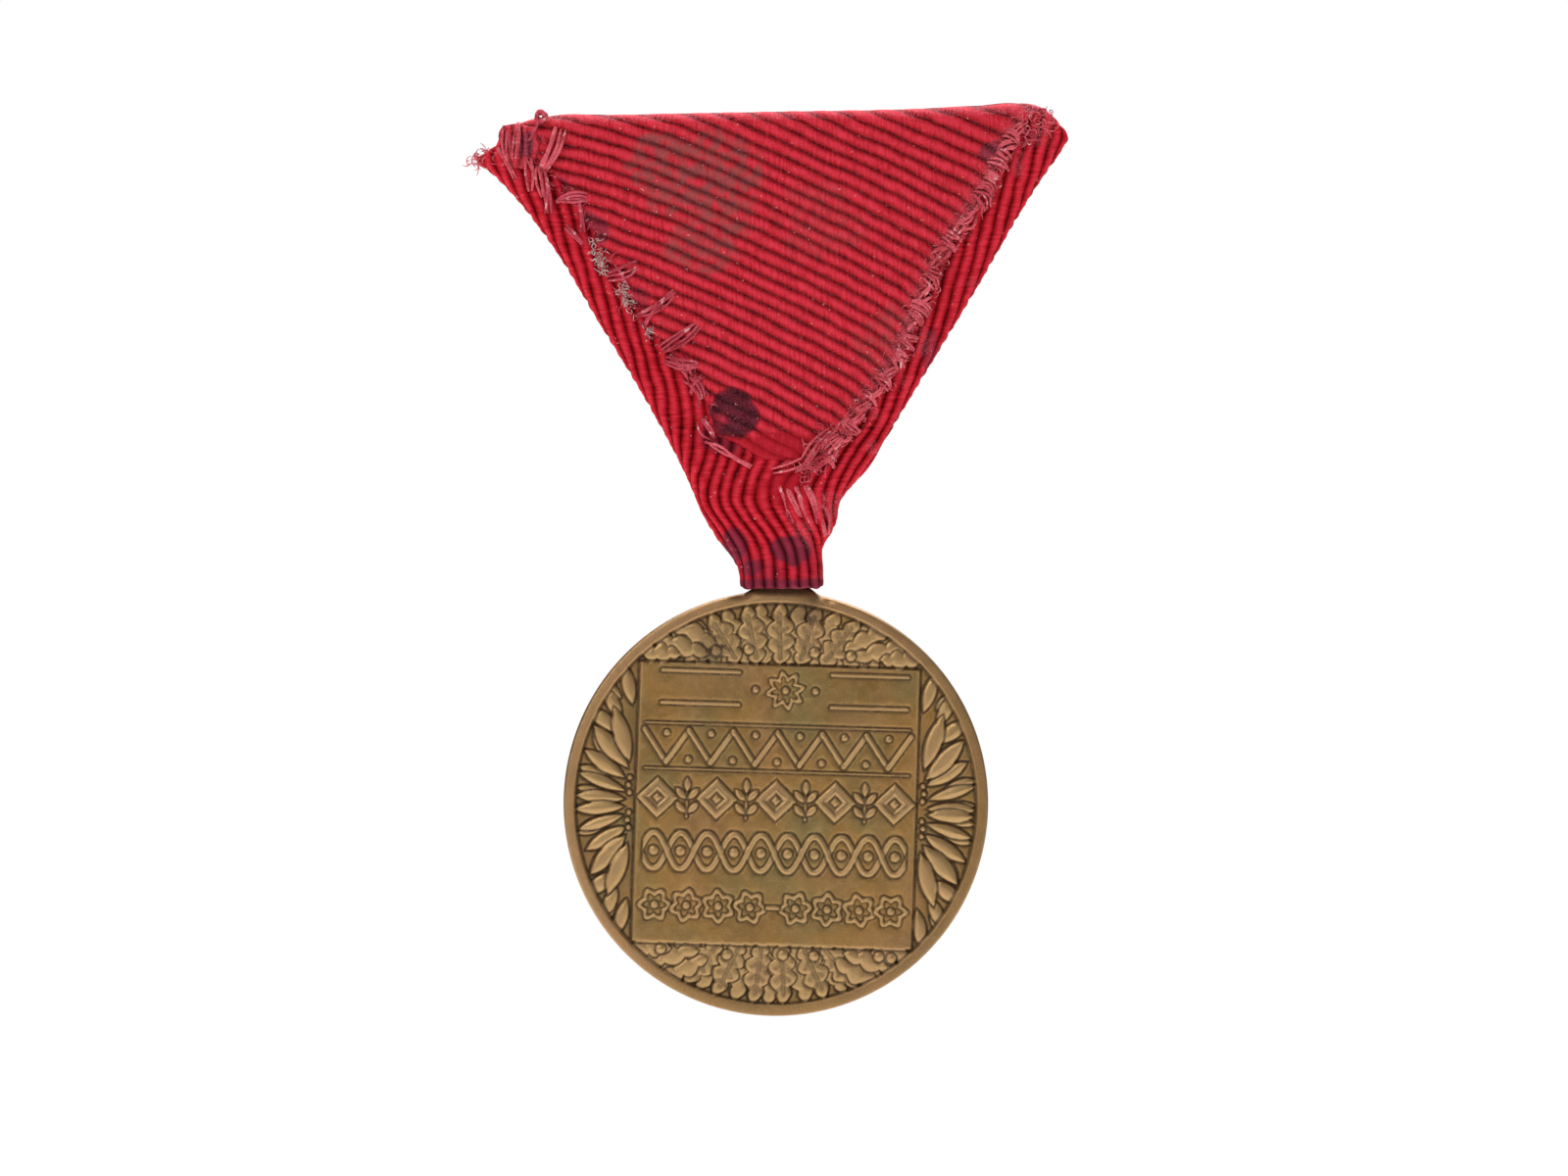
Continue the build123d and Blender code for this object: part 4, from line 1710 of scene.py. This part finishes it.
@dataclass
class Relief:
    """The heights and marks of one struck face.

    Attributes:
        u: Places across the face.
        v: Places up the face.
        height: Height over the rim's level, mostly below 0.
        dirt: 1 where dirt has settled.
        raised: 1 on raised work.
    """

    u: Array
    v: Array
    height: Array
    dirt: Array
    raised: Array

    def stamp(self, outline: Outline, place: Pair, top: float, reach: float, turn: float = 0.0,
              dome: float = 0.0, cut: float = 0.07, flank: float = 0.12, dirt: float = 0.95) -> None:
        """Strikes one shape over what is there.

        Args:
            outline: The shape round its own origin.
            place: Where its origin goes.
            top: Its height.
            reach: How far from its origin it extends.
            turn: Its turn in radians.
            dome: How much higher its middle is than its edge.
            cut: Depth of the groove round it.
            flank: Width of its sloping side.
            dirt: How dark the groove is.
        """
        du, dv = self.u - place[0], self.v - place[1]
        here = (np.abs(du) < reach + 0.5) & (np.abs(dv) < reach + 0.5)
        du, dv = du[here], dv[here]
        along, across = du * math.cos(turn) + dv * math.sin(turn), dv * math.cos(turn) - du * math.sin(turn)
        away = outline(along, across)
        inside = ease(0.03, -flank, away)
        band = ease(0.21, 0.05, away) * ease(-0.09, 0.0, away)
        peak = top + dome * ease(0.0, -0.5, away)
        self.height[here] = self.height[here] * (1 - inside) + peak * inside - cut * band
        self.dirt[here] = np.maximum(self.dirt[here] * (1 - inside), dirt * band)
        self.raised[here] = self.raised[here] * (1 - inside) + inside


@dataclass
class Medal:
    """The struck disc with its lug and eye, built round its own centre and hung by the eye.

    Attributes:
        radius: Outer radius.
        half: Half the thickness.
        field_radius: Where the rim begins.
        field: Height of the field, with the rim at 0.
        leaf: Height of the leaves.
        plaque: Half the side of the square plaque.
        plaque_top: Height of the plaque.
        work: Height of the ornament on it.
        stroke: Half the width of its strokes.
        drop: From the eye's axis down to the disc's centre.
        lug_half: Half the lug's width.
        lug_rise: How far the lug stands over the rim.
        eye_radius: Outer radius of the eye.
        bore: Radius of its hole.
        eye_half: Half its width.
        points: Points across the disc.
        triangles: About how many triangles the two struck faces keep; the edge and the eye add a few.
        laurel_under: Lower laurel leaves of one quarter: U and V of the root, slant, length and width.
        laurel_over: The upper ones.
        oak_above: Oak leaves above the plaque.
        oak_below: Oak leaves below it.
        oak_corners: Oak leaves of one quarter at the plaque's corner: U, V, slant and length.
        acorns: U and V of the acorns among them.
        oak_root: V of the oak leaves' roots.
        leaf_reach: Distance of their tips from the middle.
        rows: V of the plaque's five rows of ornament, from the top.
        dark: Patches where the patina is darkest.
    """

    radius: float = 17.0
    half: float = 1.1
    field_radius: float = 16.05
    field: float = -0.37
    leaf: float = -0.19
    plaque: float = 11.3
    plaque_top: float = -0.15
    work: float = -0.02
    stroke: float = 0.29
    drop: float = 18.3
    lug_half: float = 2.7
    lug_rise: float = 0.55
    eye_radius: float = 1.15
    bore: float = 0.72
    eye_half: float = 0.75
    points: int = 341
    triangles: int = 196000
    laurel_under: tuple[tuple[float, ...], ...] = (
        (13.0, 3.2, 58, 3.0, 1.3), (12.7, 5.5, 38, 3.1, 1.3), (12.5, 8.3, 35, 2.4, 1.2),
        (13.2, 1.4, 26, 3.0, 1.2), (12.6, 6.8, 62, 2.8, 1.1), (13.4, 0.4, 10, 2.8, 0.9))
    laurel_over: tuple[tuple[float, ...], ...] = (
        (12.0, 0.2, 4, 4.05, 1.15), (12.1, 1.0, 19, 4.1, 1.0), (12.0, 1.9, 31, 4.0, 1.25),
        (11.9, 2.6, 49, 4.4, 1.45), (11.75, 3.2, 73, 4.7, 1.4), (11.7, 7.8, 77, 3.3, 1.15))
    oak_above: int = 7
    oak_below: int = 8
    oak_corners: tuple[tuple[float, ...], ...] = (
        (5.3, 12.5, 30, 4.6), (6.0, 11.9, 14, 5.2), (8.2, 11.75, 2, 3.4))
    acorns: tuple[Pair, ...] = (
        (-2.6, 12.3), (2.7, 12.2), (-5.2, 12.1), (5.6, 12.0), (-3.6, -12.2), (3.4, -12.1), (8.6, -12.0),
        (9.6, -12.1), (-8.9, -11.9), (0.9, -12.1))
    oak_root: float = 11.35
    leaf_reach: float = 15.95
    rows: tuple[float, ...] = (9.1, 4.4, 0.25, -4.0, -8.35)
    dark: tuple[Blot, ...] = (Blot((2.3, 15.4), (1.5, 1.2), 205), Blot((-5.4, 12.2), (1.9, 0.9), 206, 0.9))

    def face(self) -> tuple[Array, Array, Array]:
        """Lays a grid over the disc.

        Returns:
            U, V and the share of the radius at each point.
        """
        line = np.linspace(-1.0, 1.0, self.points) + 1e-9
        a, b = np.meshgrid(line, line[::-1])
        wide = np.abs(a) > np.abs(b)
        reach = np.where(wide, a, b)
        turn = np.where(wide, math.pi / 4 * b / a, math.pi / 2 - math.pi / 4 * a / b)
        share = np.abs(reach)
        u, v = reach * np.cos(turn) * self.radius, reach * np.sin(turn) * self.radius
        lift = self.lug_rise * ease(self.lug_half + 0.5, self.lug_half - 0.9, np.abs(u)) * (v > 0)
        return u, v + lift * ease(0.955, 1.0, share), share

    def blank(self, u: Array, v: Array) -> Relief:
        """An unstruck face, slightly uneven, from the places across and up it."""
        height = self.field + 0.02 * lumps(u, v, 1.6, 201)
        return Relief(u, v, height, 0 * u + 0.06, 0 * u)

    def rim(self, relief: Relief) -> None:
        """Raises the rim over everything that runs under it."""
        start = self.field_radius
        relief.stamp(lambda a, b: start - np.hypot(a, b), (0, 0), 0.0, 30.0, cut=0.08, flank=0.16)

    def leaves(self, relief: Relief) -> None:
        """Strikes the laurel at both sides of the plaque and the oak above and below it.

        Args:
            relief: The face's relief.
        """
        rng = np.random.default_rng(210)
        for layer, height in ((self.laurel_under, self.leaf - 0.07), (self.laurel_over, self.leaf)):
            for right, up in QUARTERS:
                for u, v, slant, length, width in layer:
                    turn = slanted(slant + rng.normal(0, 2.0), right, up)
                    place = (right * (u + rng.normal(0, 0.06)), up * v - 0.25 + rng.normal(0, 0.08))
                    size = length * rng.uniform(0.95, 1.05)
                    relief.stamp(laurel(size, width), place, height, size + 0.6, turn, 0.09, 0.08, 0.12)
        for side, up in QUARTERS:
            for k in range(3):
                place = (side * (11.75 + 0.1 * (k % 2)), up * (0.8 + 0.6 * k) - 0.25)
                relief.stamp(dot(0.24), place, self.leaf, 0.5, dome=0.05, flank=0.1)
        for up, count in ((1, self.oak_above), (-1, self.oak_below)):
            last = count - 1
            behind = [k / 2 for k in range(-1, 2 * count, 2)]
            for k in behind + sorted(range(count), key=lambda k: -abs(k - last / 2)):
                off = k - last / 2
                turn = math.radians(90 - 15.5 * off + rng.normal(0, 2.0)) * up
                root = (off * 1.72 + rng.normal(0, 0.1), up * self.oak_root)
                self.oak_leaf(relief, root, turn, isinstance(k, float))
        for side, up in QUARTERS:
            for u, v, slant, length in self.oak_corners:
                size = length * rng.uniform(0.95, 1.05)
                relief.stamp(oak(size, 1.75, 3.2), (side * u, up * v), self.leaf, size + 0.6,
                             slanted(slant, side, up), 0.05, 0.1, 0.1)
        for place in self.acorns:
            relief.stamp(rosette(0.42, 1, 0.04, 0), place, self.leaf + 0.02, 0.7, dome=0.07, flank=0.12)

    def oak_leaf(self, relief: Relief, root: Pair, turn: float, behind: bool) -> None:
        """Strikes one oak leaf with its veins, from the plaque to the rim.

        Args:
            relief: The face's relief.
            root: Where it starts.
            turn: Which way it points, in radians.
            behind: Whether it shows only between two others.
        """
        away = (math.cos(turn), math.sin(turn))
        along = root[0] * away[0] + root[1] * away[1]
        length = -along + math.sqrt(max(along ** 2 - root[0] ** 2 - root[1] ** 2 + self.leaf_reach ** 2, 1.0))
        height = self.leaf - 0.08 * behind
        leaf = oak(length, 2.5 if behind else 2.35, 3.6)
        relief.stamp(leaf, root, height, length + 0.8, turn, 0.05, 0.1, 0.1)
        if behind:
            return
        relief.stamp(bar((0.3, 0.0), (length - 0.7, 0.08), 0.06), root, self.leaf + 0.1, length, turn,
                     cut=0.04, flank=0.07, dirt=0.6)
        for step in (0.3, 0.52, 0.72):
            for side in (1, -1):
                vein = bar((length * step, 0.0), (length * step + 0.4, side * 0.55), 0.04)
                relief.stamp(vein, root, self.leaf + 0.08, length, turn, cut=0.03, flank=0.06, dirt=0.5)

    def ornament(self, relief: Relief) -> None:
        """Strikes the plaque with its rows of plain ornament.

        Args:
            relief: The face's relief.
        """
        half, wide = self.plaque, self.stroke

        def square(u: Array, v: Array) -> Array:
            """Signed distance from the plaque's outline."""
            return np.maximum(np.abs(u) - half, np.abs(v) - half)

        relief.stamp(square, (0.0, -0.15), self.plaque_top, half, cut=0.1, flank=0.2)
        inside = ease(0.0, -0.4, square(relief.u, relief.v + 0.15))
        relief.raised *= 1 - inside
        relief.height += 0.012 * lumps(relief.u, relief.v, 1.3, 203) * inside

        def strike(outline: Outline, place: Pair, reach: float, turn: float = 0.0) -> None:
            """Strikes one shape of the ornament."""
            relief.stamp(outline, place, self.work, reach, turn, 0.01, 0.06, 0.13, 0.9)

        top, second, third, fourth, lowest = self.rows
        for v in (10.45, 7.85):
            strike(bar((-9.4, v), (-3.2, v), 0.17), (0, 0), 12)
            strike(bar((4.2, v), (10.3, v), 0.17), (0, 0), 12)
        strike(rosette(1.15, 8, 0.24, 0.24), (0.5, top), 2.2, 0.2)
        for u, radius in ((0.5, 0.32), (2.9, 0.3), (-1.9, 0.3)):
            strike(dot(radius), (u, top), 1.0)
        self.zigzag(strike, second, 1.3, wide)
        for k in range(5):
            u = 4.75 * (k - 2)
            strike(lozenge(1.75, 1.7), (u, third), 2.0)
            relief.stamp(lozenge(1.0, 0.95), (u, third), self.plaque_top - 0.01, 1.3, cut=0.0, flank=0.1,
                         dirt=0.6)
            strike(lozenge(0.45, 0.45), (u, third), 0.8)
        for k in range(4):
            u = 4.75 * (k - 1.5)
            strike(bar((0, -1.5), (0, 1.2), 0.13), (u, third), 1.8)
            for side in (1, -1):
                for low in (-1.2, -0.1):
                    strike(laurel(1.25, 0.62), (u + 0.08 * side, third + low), 1.5, math.pi / 2 - side * 0.75)
            strike(laurel(1.2, 0.6), (u, 0.75), 1.5, math.pi / 2)
        for shift in (0.0, math.pi):
            strike(lambda a, b, s=shift: np.maximum(wave(1.42, 4.3, s, wide - 0.03)(a, b), np.abs(a) - 10.6),
                   (0.0, fourth), 11.0)
        for k in range(10):
            strike(dot(0.42), (-9.675 + 2.15 * k, fourth), 0.8)
        for k in range(8):
            u = (k - 3.5) * 2.55 + (0.55 if k > 3 else -0.55)
            strike(rosette(1.02, 6, 0.17, 0.23), (u, lowest), 1.8, 0.3 * k)
            strike(dot(0.34), (u, lowest), 0.8)
        strike(bar((-0.4, 0.0), (0.4, 0.0), 0.2), (0.0, lowest), 1.0)

    def zigzag(self, strike: Callable, middle: float, rise: float, wide: float) -> None:
        """Strikes a zigzag band with a bead in each of its gaps.

        Args:
            strike: What strikes a shape.
            middle: V of its middle.
            rise: Half its height.
            wide: Half the width of its stroke.
        """
        step = 1.78
        for k in range(12):
            u, up = (k - 6) * step, 1 if k % 2 else -1
            ends = (u, middle - up * rise), (u + step, middle + up * rise)
            strike(bar(*ends, wide - 0.05), (0.0, 0.0), 12.0)
        for k in range(1, 12):
            up = 1 if k % 2 else -1
            strike(dot(0.3), ((k - 6) * step, middle + up * (rise - 0.25)), 0.8)
        for side in (1, -1):
            strike(bar((-10.6, middle + side * 1.82), (10.6, middle + side * 1.82), 0.1), (0.0, 0.0), 12.0)

    def obverse(self, relief: Relief) -> None:
        """Strikes a plain eight-pointed star inside a laurel wreath.

        Args:
            relief: The face's relief.
        """
        outer, inner, part = 9.0, 4.2, math.pi / 8

        def inward(u: Array, v: Array) -> Array:
            """Share of the way from the star's outline to its middle.

            Args:
                u: Places across the face.
                v: Places up the face.

            Returns:
                The shares, negative outside.
            """
            fold = np.abs((np.arctan2(u, v) + part) % (2 * part) - part)
            across = inner * math.sin(part)
            edge = outer * across / (np.cos(fold) * across + np.sin(fold) * (outer - inner * math.cos(part)))
            return 1 - np.hypot(u, v) / edge

        relief.stamp(lambda u, v: -2.5 * inward(u, v), (0, 0), -0.29, outer, cut=0.07)
        relief.height += 0.24 * np.clip(inward(relief.u, relief.v), 0, 1)
        relief.stamp(rosette(1.5, 1, 0.0, 0.16), (0, 0), -0.03, 2.0, flank=0.1)
        for k in range(-14, 15):
            if k == 0:
                continue
            angle = -math.pi / 2 + k * 0.197
            for side, lean in ((0.75, 0.5), (-0.75, -0.5)):
                place = ((13.2 + side * 0.35) * math.cos(angle), (13.2 + side * 0.35) * math.sin(angle))
                way = angle + math.copysign(math.pi / 2, k) - math.copysign(lean, k)
                relief.stamp(laurel(2.9, 0.95), place, self.leaf + 0.02, 3.4, way, 0.08, 0.07)
        relief.stamp(bar((-1.3, -13.2), (1.3, -13.2), 0.55), (0, 0), self.leaf + 0.06, 14.5, dome=0.05)
        for side in (1, -1):
            ribbon = bar((side * 0.3, -13.4), (side * 2.0, -14.9), 0.3)
            relief.stamp(ribbon, (0, 0), self.leaf, 15.5, dome=0.03)

    def eye(self) -> Shell:
        """Builds the eye as a short barrel with its bore along U.

        Returns:
            The barrel round its own axis, in U, Y and V.
        """
        corners, steps = 24, 64
        corner = np.linspace(0, TURN, corners + 1)[:-1]
        thick = (self.eye_radius - self.bore) / 2
        away = np.sign(np.sin(corner)) * np.abs(np.sin(corner)) ** 0.55 * thick + self.bore + thick
        u = np.sign(np.cos(corner)) * np.abs(np.cos(corner)) ** 0.55 * self.eye_half
        turn = np.linspace(0, TURN, steps + 1)[:-1, None]
        ring = np.stack([u[None, :] + 0 * turn, away * np.cos(turn), away * np.sin(turn)], axis=-1)[:, ::-1]
        numbers = grid_faces(steps + 1, corners, wrap=True) % (steps * corners)
        zeros = np.zeros(steps * corners)
        levels = {"dirt_and_shade": 0.25, "wear_and_highlight": 0.3, "raised": 0.0, "film": 0.4, "copper_and_highlight": 0.0}
        return Shell(ring.reshape(-1, 3), [numbers], {key: zeros + level for key, level in levels.items()})

    def disc(self) -> Shell:
        """Builds the disc and its lug.

        Returns:
            The closed disc in U, Y and V round its centre.
        """
        u, v, share = self.face()
        count = self.points
        lug = ease(self.lug_half + 1.8, self.lug_half + 0.3, np.abs(u)) * (v > 0)
        edge = roll((1 - share) * self.radius, 0.2) + 0.45 * lug * ease(0.96, 1.0, share)
        sides = []
        for strikes in ((self.leaves, self.ornament, self.rim), (self.obverse, self.rim)):
            relief = self.blank(u, v)
            for strike in strikes:
                strike(relief)
            sides.append(relief)
        y_near = -self.half - sides[0].height + edge
        y_far = self.half + sides[1].height - edge
        rim = rim_of(count, count)
        steps = np.linspace(0.0, 1.0, 8)[1:-1]
        near = np.stack([u, y_near, v], axis=-1)
        far = np.stack([u, y_far, v], axis=-1)
        ring_near, ring_far = near.reshape(-1, 3)[rim], far.reshape(-1, 3)[rim]
        wall = np.concatenate([ring_near * (1 - t) + ring_far * t for t in steps])
        bulge = np.repeat(1 + 0.05 / self.radius * np.sin(math.pi * steps), len(rim))[:, None]
        wall[:, [0, 2]] *= bulge
        total = count * count
        rings = [2 * total + k * len(rim) + np.arange(len(rim)) for k in range(len(steps))]
        walk = [rim, *rings, rim + total]
        walls = [np.stack([a, np.roll(a, -1), np.roll(b, -1), b], axis=1) for a, b in zip(walk, walk[1:])]
        faces = [grid_faces(count, count), grid_faces(count, count, total, flip=True), *walls]
        marks = self.marks(u, v, share, sides, len(wall))
        return Shell(np.concatenate([near.reshape(-1, 3), far.reshape(-1, 3), wall]), faces, marks)

    def marks(self, u: Array, v: Array, share: Array, sides: list[Relief],
              wall: int) -> dict[str, Array]:
        """Works out where the patina is dark, rubbed or coppery, with a painted highlight towards the upper
        left of the rim and painted shade towards its lower right.

        Args:
            u: Places across the face.
            v: Places up the face.
            share: Share of the radius.
            sides: The reliefs of both faces.
            wall: How many points the edge has.

        Returns:
            The marks of every point.
        """
        parts = {key: [] for key in ("dirt_and_shade", "wear_and_highlight", "raised", "film", "copper_and_highlight")}
        rim = ease(self.field_radius, self.field_radius + 0.25, share * self.radius)
        # How the light falls on the rim: 1 at its upper left, 0 at its lower right.
        lit = ease(-12.0, 10.0, v - u)
        for relief in sides:
            low = 0.12 * ease(-0.3, -0.4, relief.height)
            patch = 0.5 * blots(self.dark, u, v)
            # On the rim, painted shade towards the lower right joins the dirt.
            parts["dirt_and_shade"].append(np.clip(relief.dirt + low + patch + rim * (0.24 - 0.2 * lit), 0, 1))
            # On the rim, a painted highlight towards the upper left joins the wear.
            parts["wear_and_highlight"].append(np.clip(rim * (0.35 + 0.5 * lit) + ease(0.985, 1.0, share) * 0.3, 0, 1))
            parts["raised"].append(relief.raised * (1 - rim))
            film = 0.45 + 0.6 * lumps(u, v, 2.8, 207) - 0.3 * relief.raised - 0.5 * rim
            parts["film"].append(np.clip(film, 0, 1))
            # On the rim, a painted highlight towards the upper left joins the copper tone.
            copper_and_highlight = 0.55 * ease(0.1, 0.7, lumps(u, v, 3.0, 208)) + rim * (0.25 + 0.45 * lit)
            parts["copper_and_highlight"].append(np.clip(copper_and_highlight, 0, 1))
        for key, value in (("dirt_and_shade", 0.1), ("wear_and_highlight", 0.35), ("raised", 0.0), ("film", 0.1), ("copper_and_highlight", 0.3)):
            parts[key].append(np.full(wall, value))
        return {key: np.concatenate([p.ravel() for p in values]) for key, values in parts.items()}

    def build(self, bore: Vector, axis: Vector, finish: Material) -> Piece:
        """Builds the medal and hangs it by its eye.

        Args:
            bore: The middle of the eye's bore in metres.
            axis: The direction of the bore.
            finish: The metal.

        Returns:
            The piece.
        """
        disc, eye = self.disc(), self.eye()
        disc.points[:, 2] -= self.drop
        shell = joined([disc, eye])
        across = np.array([axis.x, axis.y, axis.z])
        upward = np.array([-axis.z, 0.0, axis.x])
        flat = shell.points
        shell.points = (np.array([bore.x, bore.y, bore.z]) / MM + flat[:, :1] * across + flat[:, 2:] * upward
                        + flat[:, 1:2] * np.array([0.0, 1.0, 0.0]))
        piece = shell.build("struck_medal", finish)
        fewer = piece.modifiers.new("fewer", "DECIMATE")
        fewer.ratio = self.triangles / (4 * self.points ** 2)
        seen = bpy.context.evaluated_depsgraph_get()
        mesh = bpy.data.meshes.new_from_object(piece.evaluated_get(seen), preserve_all_data_layers=True,
                                               depsgraph=seen)
        piece.modifiers.clear()
        piece.data = mesh
        return piece


# -------- studio


@dataclass
class Studio:
    """A pale floor, soft lights and the camera.

    Attributes:
        floor_z: Height of the floor in metres.
        floor_size: Side of the floor in metres.
        camera_place: Where the camera stands in metres.
        lens_mm: Its focal length.
        aim: What the lights face, in metres.
    """

    floor_z: float = -0.125
    floor_size: float = 1.0
    camera_place: Triple = (0.0003, -0.348, -0.0382)
    lens_mm: float = 100.0
    aim: Triple = (0.0, 0.0, -0.035)

    def floor(self) -> Piece:
        """Builds the floor.

        Returns:
            The floor.
        """
        f = Finish("matt_white_paper")  # no gloss, so the shadow stays soft
        material = f.give(Base_Color=linear("#fbfbfb"), Roughness=0.9, Specular_IOR_Level=0.1)
        s = self.floor_size / 2 / MM
        z = self.floor_z / MM
        points = np.array([[-s, -s, z], [s, -s, z], [s, s, z], [-s, s, z]])
        sheet = Shell(points, [np.array([[0, 1, 2, 3]])]).build("floor", material)
        return sheet

    def lamp(self, name: str, place: Triple, size: float, watts: float) -> None:
        """Hangs a soft square light that faces the object.

        Args:
            name: Its name.
            place: Where it hangs in metres.
            size: Its side in metres.
            watts: Its power.
        """
        light = bpy.data.lights.new(name, "AREA")
        light.size, light.energy = size, watts
        lamp = bpy.data.objects.new(name, light)
        lamp.location = place
        lamp.rotation_euler = (Vector(self.aim) - Vector(place)).to_track_quat("-Z", "Y").to_euler()
        bpy.context.scene.collection.objects.link(lamp)

    def build(self) -> None:
        """Sets up the floor, the lights, the surroundings and the camera."""
        self.floor()
        self.lamp("key_light", (-0.25, -0.4, 0.22), 0.25, 1.15)
        self.lamp("fill_light", (0.45, -0.3, 0.05), 0.4, 0.22)
        self.lamp("back_light", (0.1, 0.5, 0.3), 0.4, 0.8)
        self.lamp("floor_light", (0.0, 0.25, 0.9), 0.9, 20.0)
        scene = bpy.context.scene
        scene.world = bpy.data.worlds.new("white_room")
        scene.world.use_nodes = True
        tree = scene.world.node_tree
        tree.nodes.clear()
        seen = add(tree, "LightPath").outputs["Is Camera Ray"]
        power = add(tree, "MapRange", None, i0=seen, i3=0.2, i4=1.0).outputs[0]
        white = add(tree, "Background", None, Color=(1.0, 1.0, 1.0, 1.0), Strength=power)
        add(tree, "OutputWorld", i0=white.outputs[0])
        scene.view_settings.view_transform = "Standard"
        camera = bpy.data.cameras.new("camera")
        camera.lens, camera.sensor_width = self.lens_mm, 36.0
        camera.clip_start, camera.clip_end = 0.01, 20.0
        eye = bpy.data.objects.new("camera", camera)
        eye.location = self.camera_place
        eye.rotation_euler = (math.pi / 2, 0.0, 0.0)
        scene.collection.objects.link(eye)
        scene.camera = eye


# -------- assembly


TUCK = 2.2  # how far the turned-back edges run on under the panel
BEND_REACH = 0.0022  # metres above and below the bend's axis, for two points that are worked out but not used
SLOTS = {"stiffener": "stiffening_cloth", "back_panel": "ribbon_back"}
FLATS = {"back_panel": (0.044, 0.029), "left_turnback": (0.028, 0.010), "right_turnback": (0.032, 0.010),
         "front_ribbon": (0.048, 0.030), "stiffener": (0.039, 0.026)}  # metres


def area_of(piece: Piece) -> float:
    """Half a closed sheet's surface in square metres, which is about its flat area."""
    return sum(p.area for p in piece.data.polygons) / 2


def main() -> None:
    """Builds the ribbon, its sewing and the medal, parents most pieces to a body empty, hides the
    parts of model.glb they stand for and gives the suspension ring its brass.
    """
    logging.basicConfig(level=logging.INFO, format="%(name)s: %(message)s")
    Studio().build()
    ribbon = RibbedRayon().make("ribbed_rayon")
    cotton = SewingCotton().make("sewing_cotton")
    worn = SewingCotton("#98202c", "#d4606b").make("bleached_cotton")
    # Worn cotton fibre, grey and matt.
    lint = PlainFinish("#d9c9c4", "#a39089", 0.3, 0.9, 0.0).make("grey_lint")
    # Sized cotton canvas, a matt buff.
    stiff = PlainFinish("#b8ab92", "#85785f", 0.5, 0.9, 0.0).make("stiffened_cotton")
    # Drawn brass wire, half bright with a fine grain.
    brass = PlainFinish("#b8924f", "#8d6c35", 0.3, 0.35, 1.0).make("drawn_brass")
    tombac = StruckTombac().make("struck_tombac")
    joints = {j["name"]: j for j in frame["joints"]}
    bend = Vector(joints["neck_bend"]["pos_m"])
    swing = Vector(joints["medal_swing"]["pos_m"])
    axis = Vector(joints["medal_swing"]["axis"]).normalized()

    shape = FoldedRibbon()
    panel = BackPanel()
    pieces = {"back_panel": panel.build(shape, ribbon)}
    left_inner = Bend(tuple((z, x + TUCK) for z, x in panel.left.points) + ((-28.2, -2.8),))
    right_inner = Bend(tuple((z, x - TUCK) for z, x in panel.right.points))
    pieces["left_turnback"] = TurnedEdge("left_edge_cloth", True, -1.1, left_inner).build(shape, ribbon)
    pieces["right_turnback"] = TurnedEdge("right_edge_cloth", False, 0.3, right_inner).build(shape, ribbon)
    pieces["front_ribbon"] = FrontRibbon().build(shape, ribbon)
    pieces["ring_bight"] = RingBight().build(bend, ribbon)
    pieces["stiffener"] = Stiffener().build(stiff)
    pieces["corner_fold"] = CornerFold().build(shape, ribbon)
    neck = GatheredNeck().build(shape, ribbon)
    sewing = Sewing().build(panel, cotton, worn, lint)
    medal = Medal().build(swing, axis, tombac)

    nodes = {"front_ribbon": ("front_ribbon", "top_fold")}
    for name, piece in pieces.items():
        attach(piece, "ribbon")
        if name != "corner_fold":
            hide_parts(*nodes.get(name, (name,)))
        SLOTS.get(name, "ribbon")
    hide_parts("neck_gather", "neck_sleeve")
    above, below = (0.0, bend.y, bend.z + BEND_REACH), (0.0, bend.y, bend.z - BEND_REACH)
    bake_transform(neck)
    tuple(above)
    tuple(below)
    for name, piece in sewing.items():
        if name == "neck_tack_stitches":
            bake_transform(piece)
            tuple(above)
            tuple(below)
        else:
            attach(piece, "ribbon")
        if name != "seam_lint":
            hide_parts(name)
    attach(medal, "medal")
    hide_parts("medal")
    wire = frame["nodes"]["suspension_ring"]
    wire.data.materials.clear()
    wire.data.materials.append(brass)

    for name, flat in FLATS.items():
        area = min(area_of(pieces[name]), flat[0] * flat[1])
        log.info("%s: %.1f mm2 of %.1f", name, area_of(pieces[name]) * 1e6, flat[0] * flat[1] * 1e6)
    log.info("neck: %.1f mm2", area_of(neck) * 1e6)


if __name__ == "__main__":
    main()
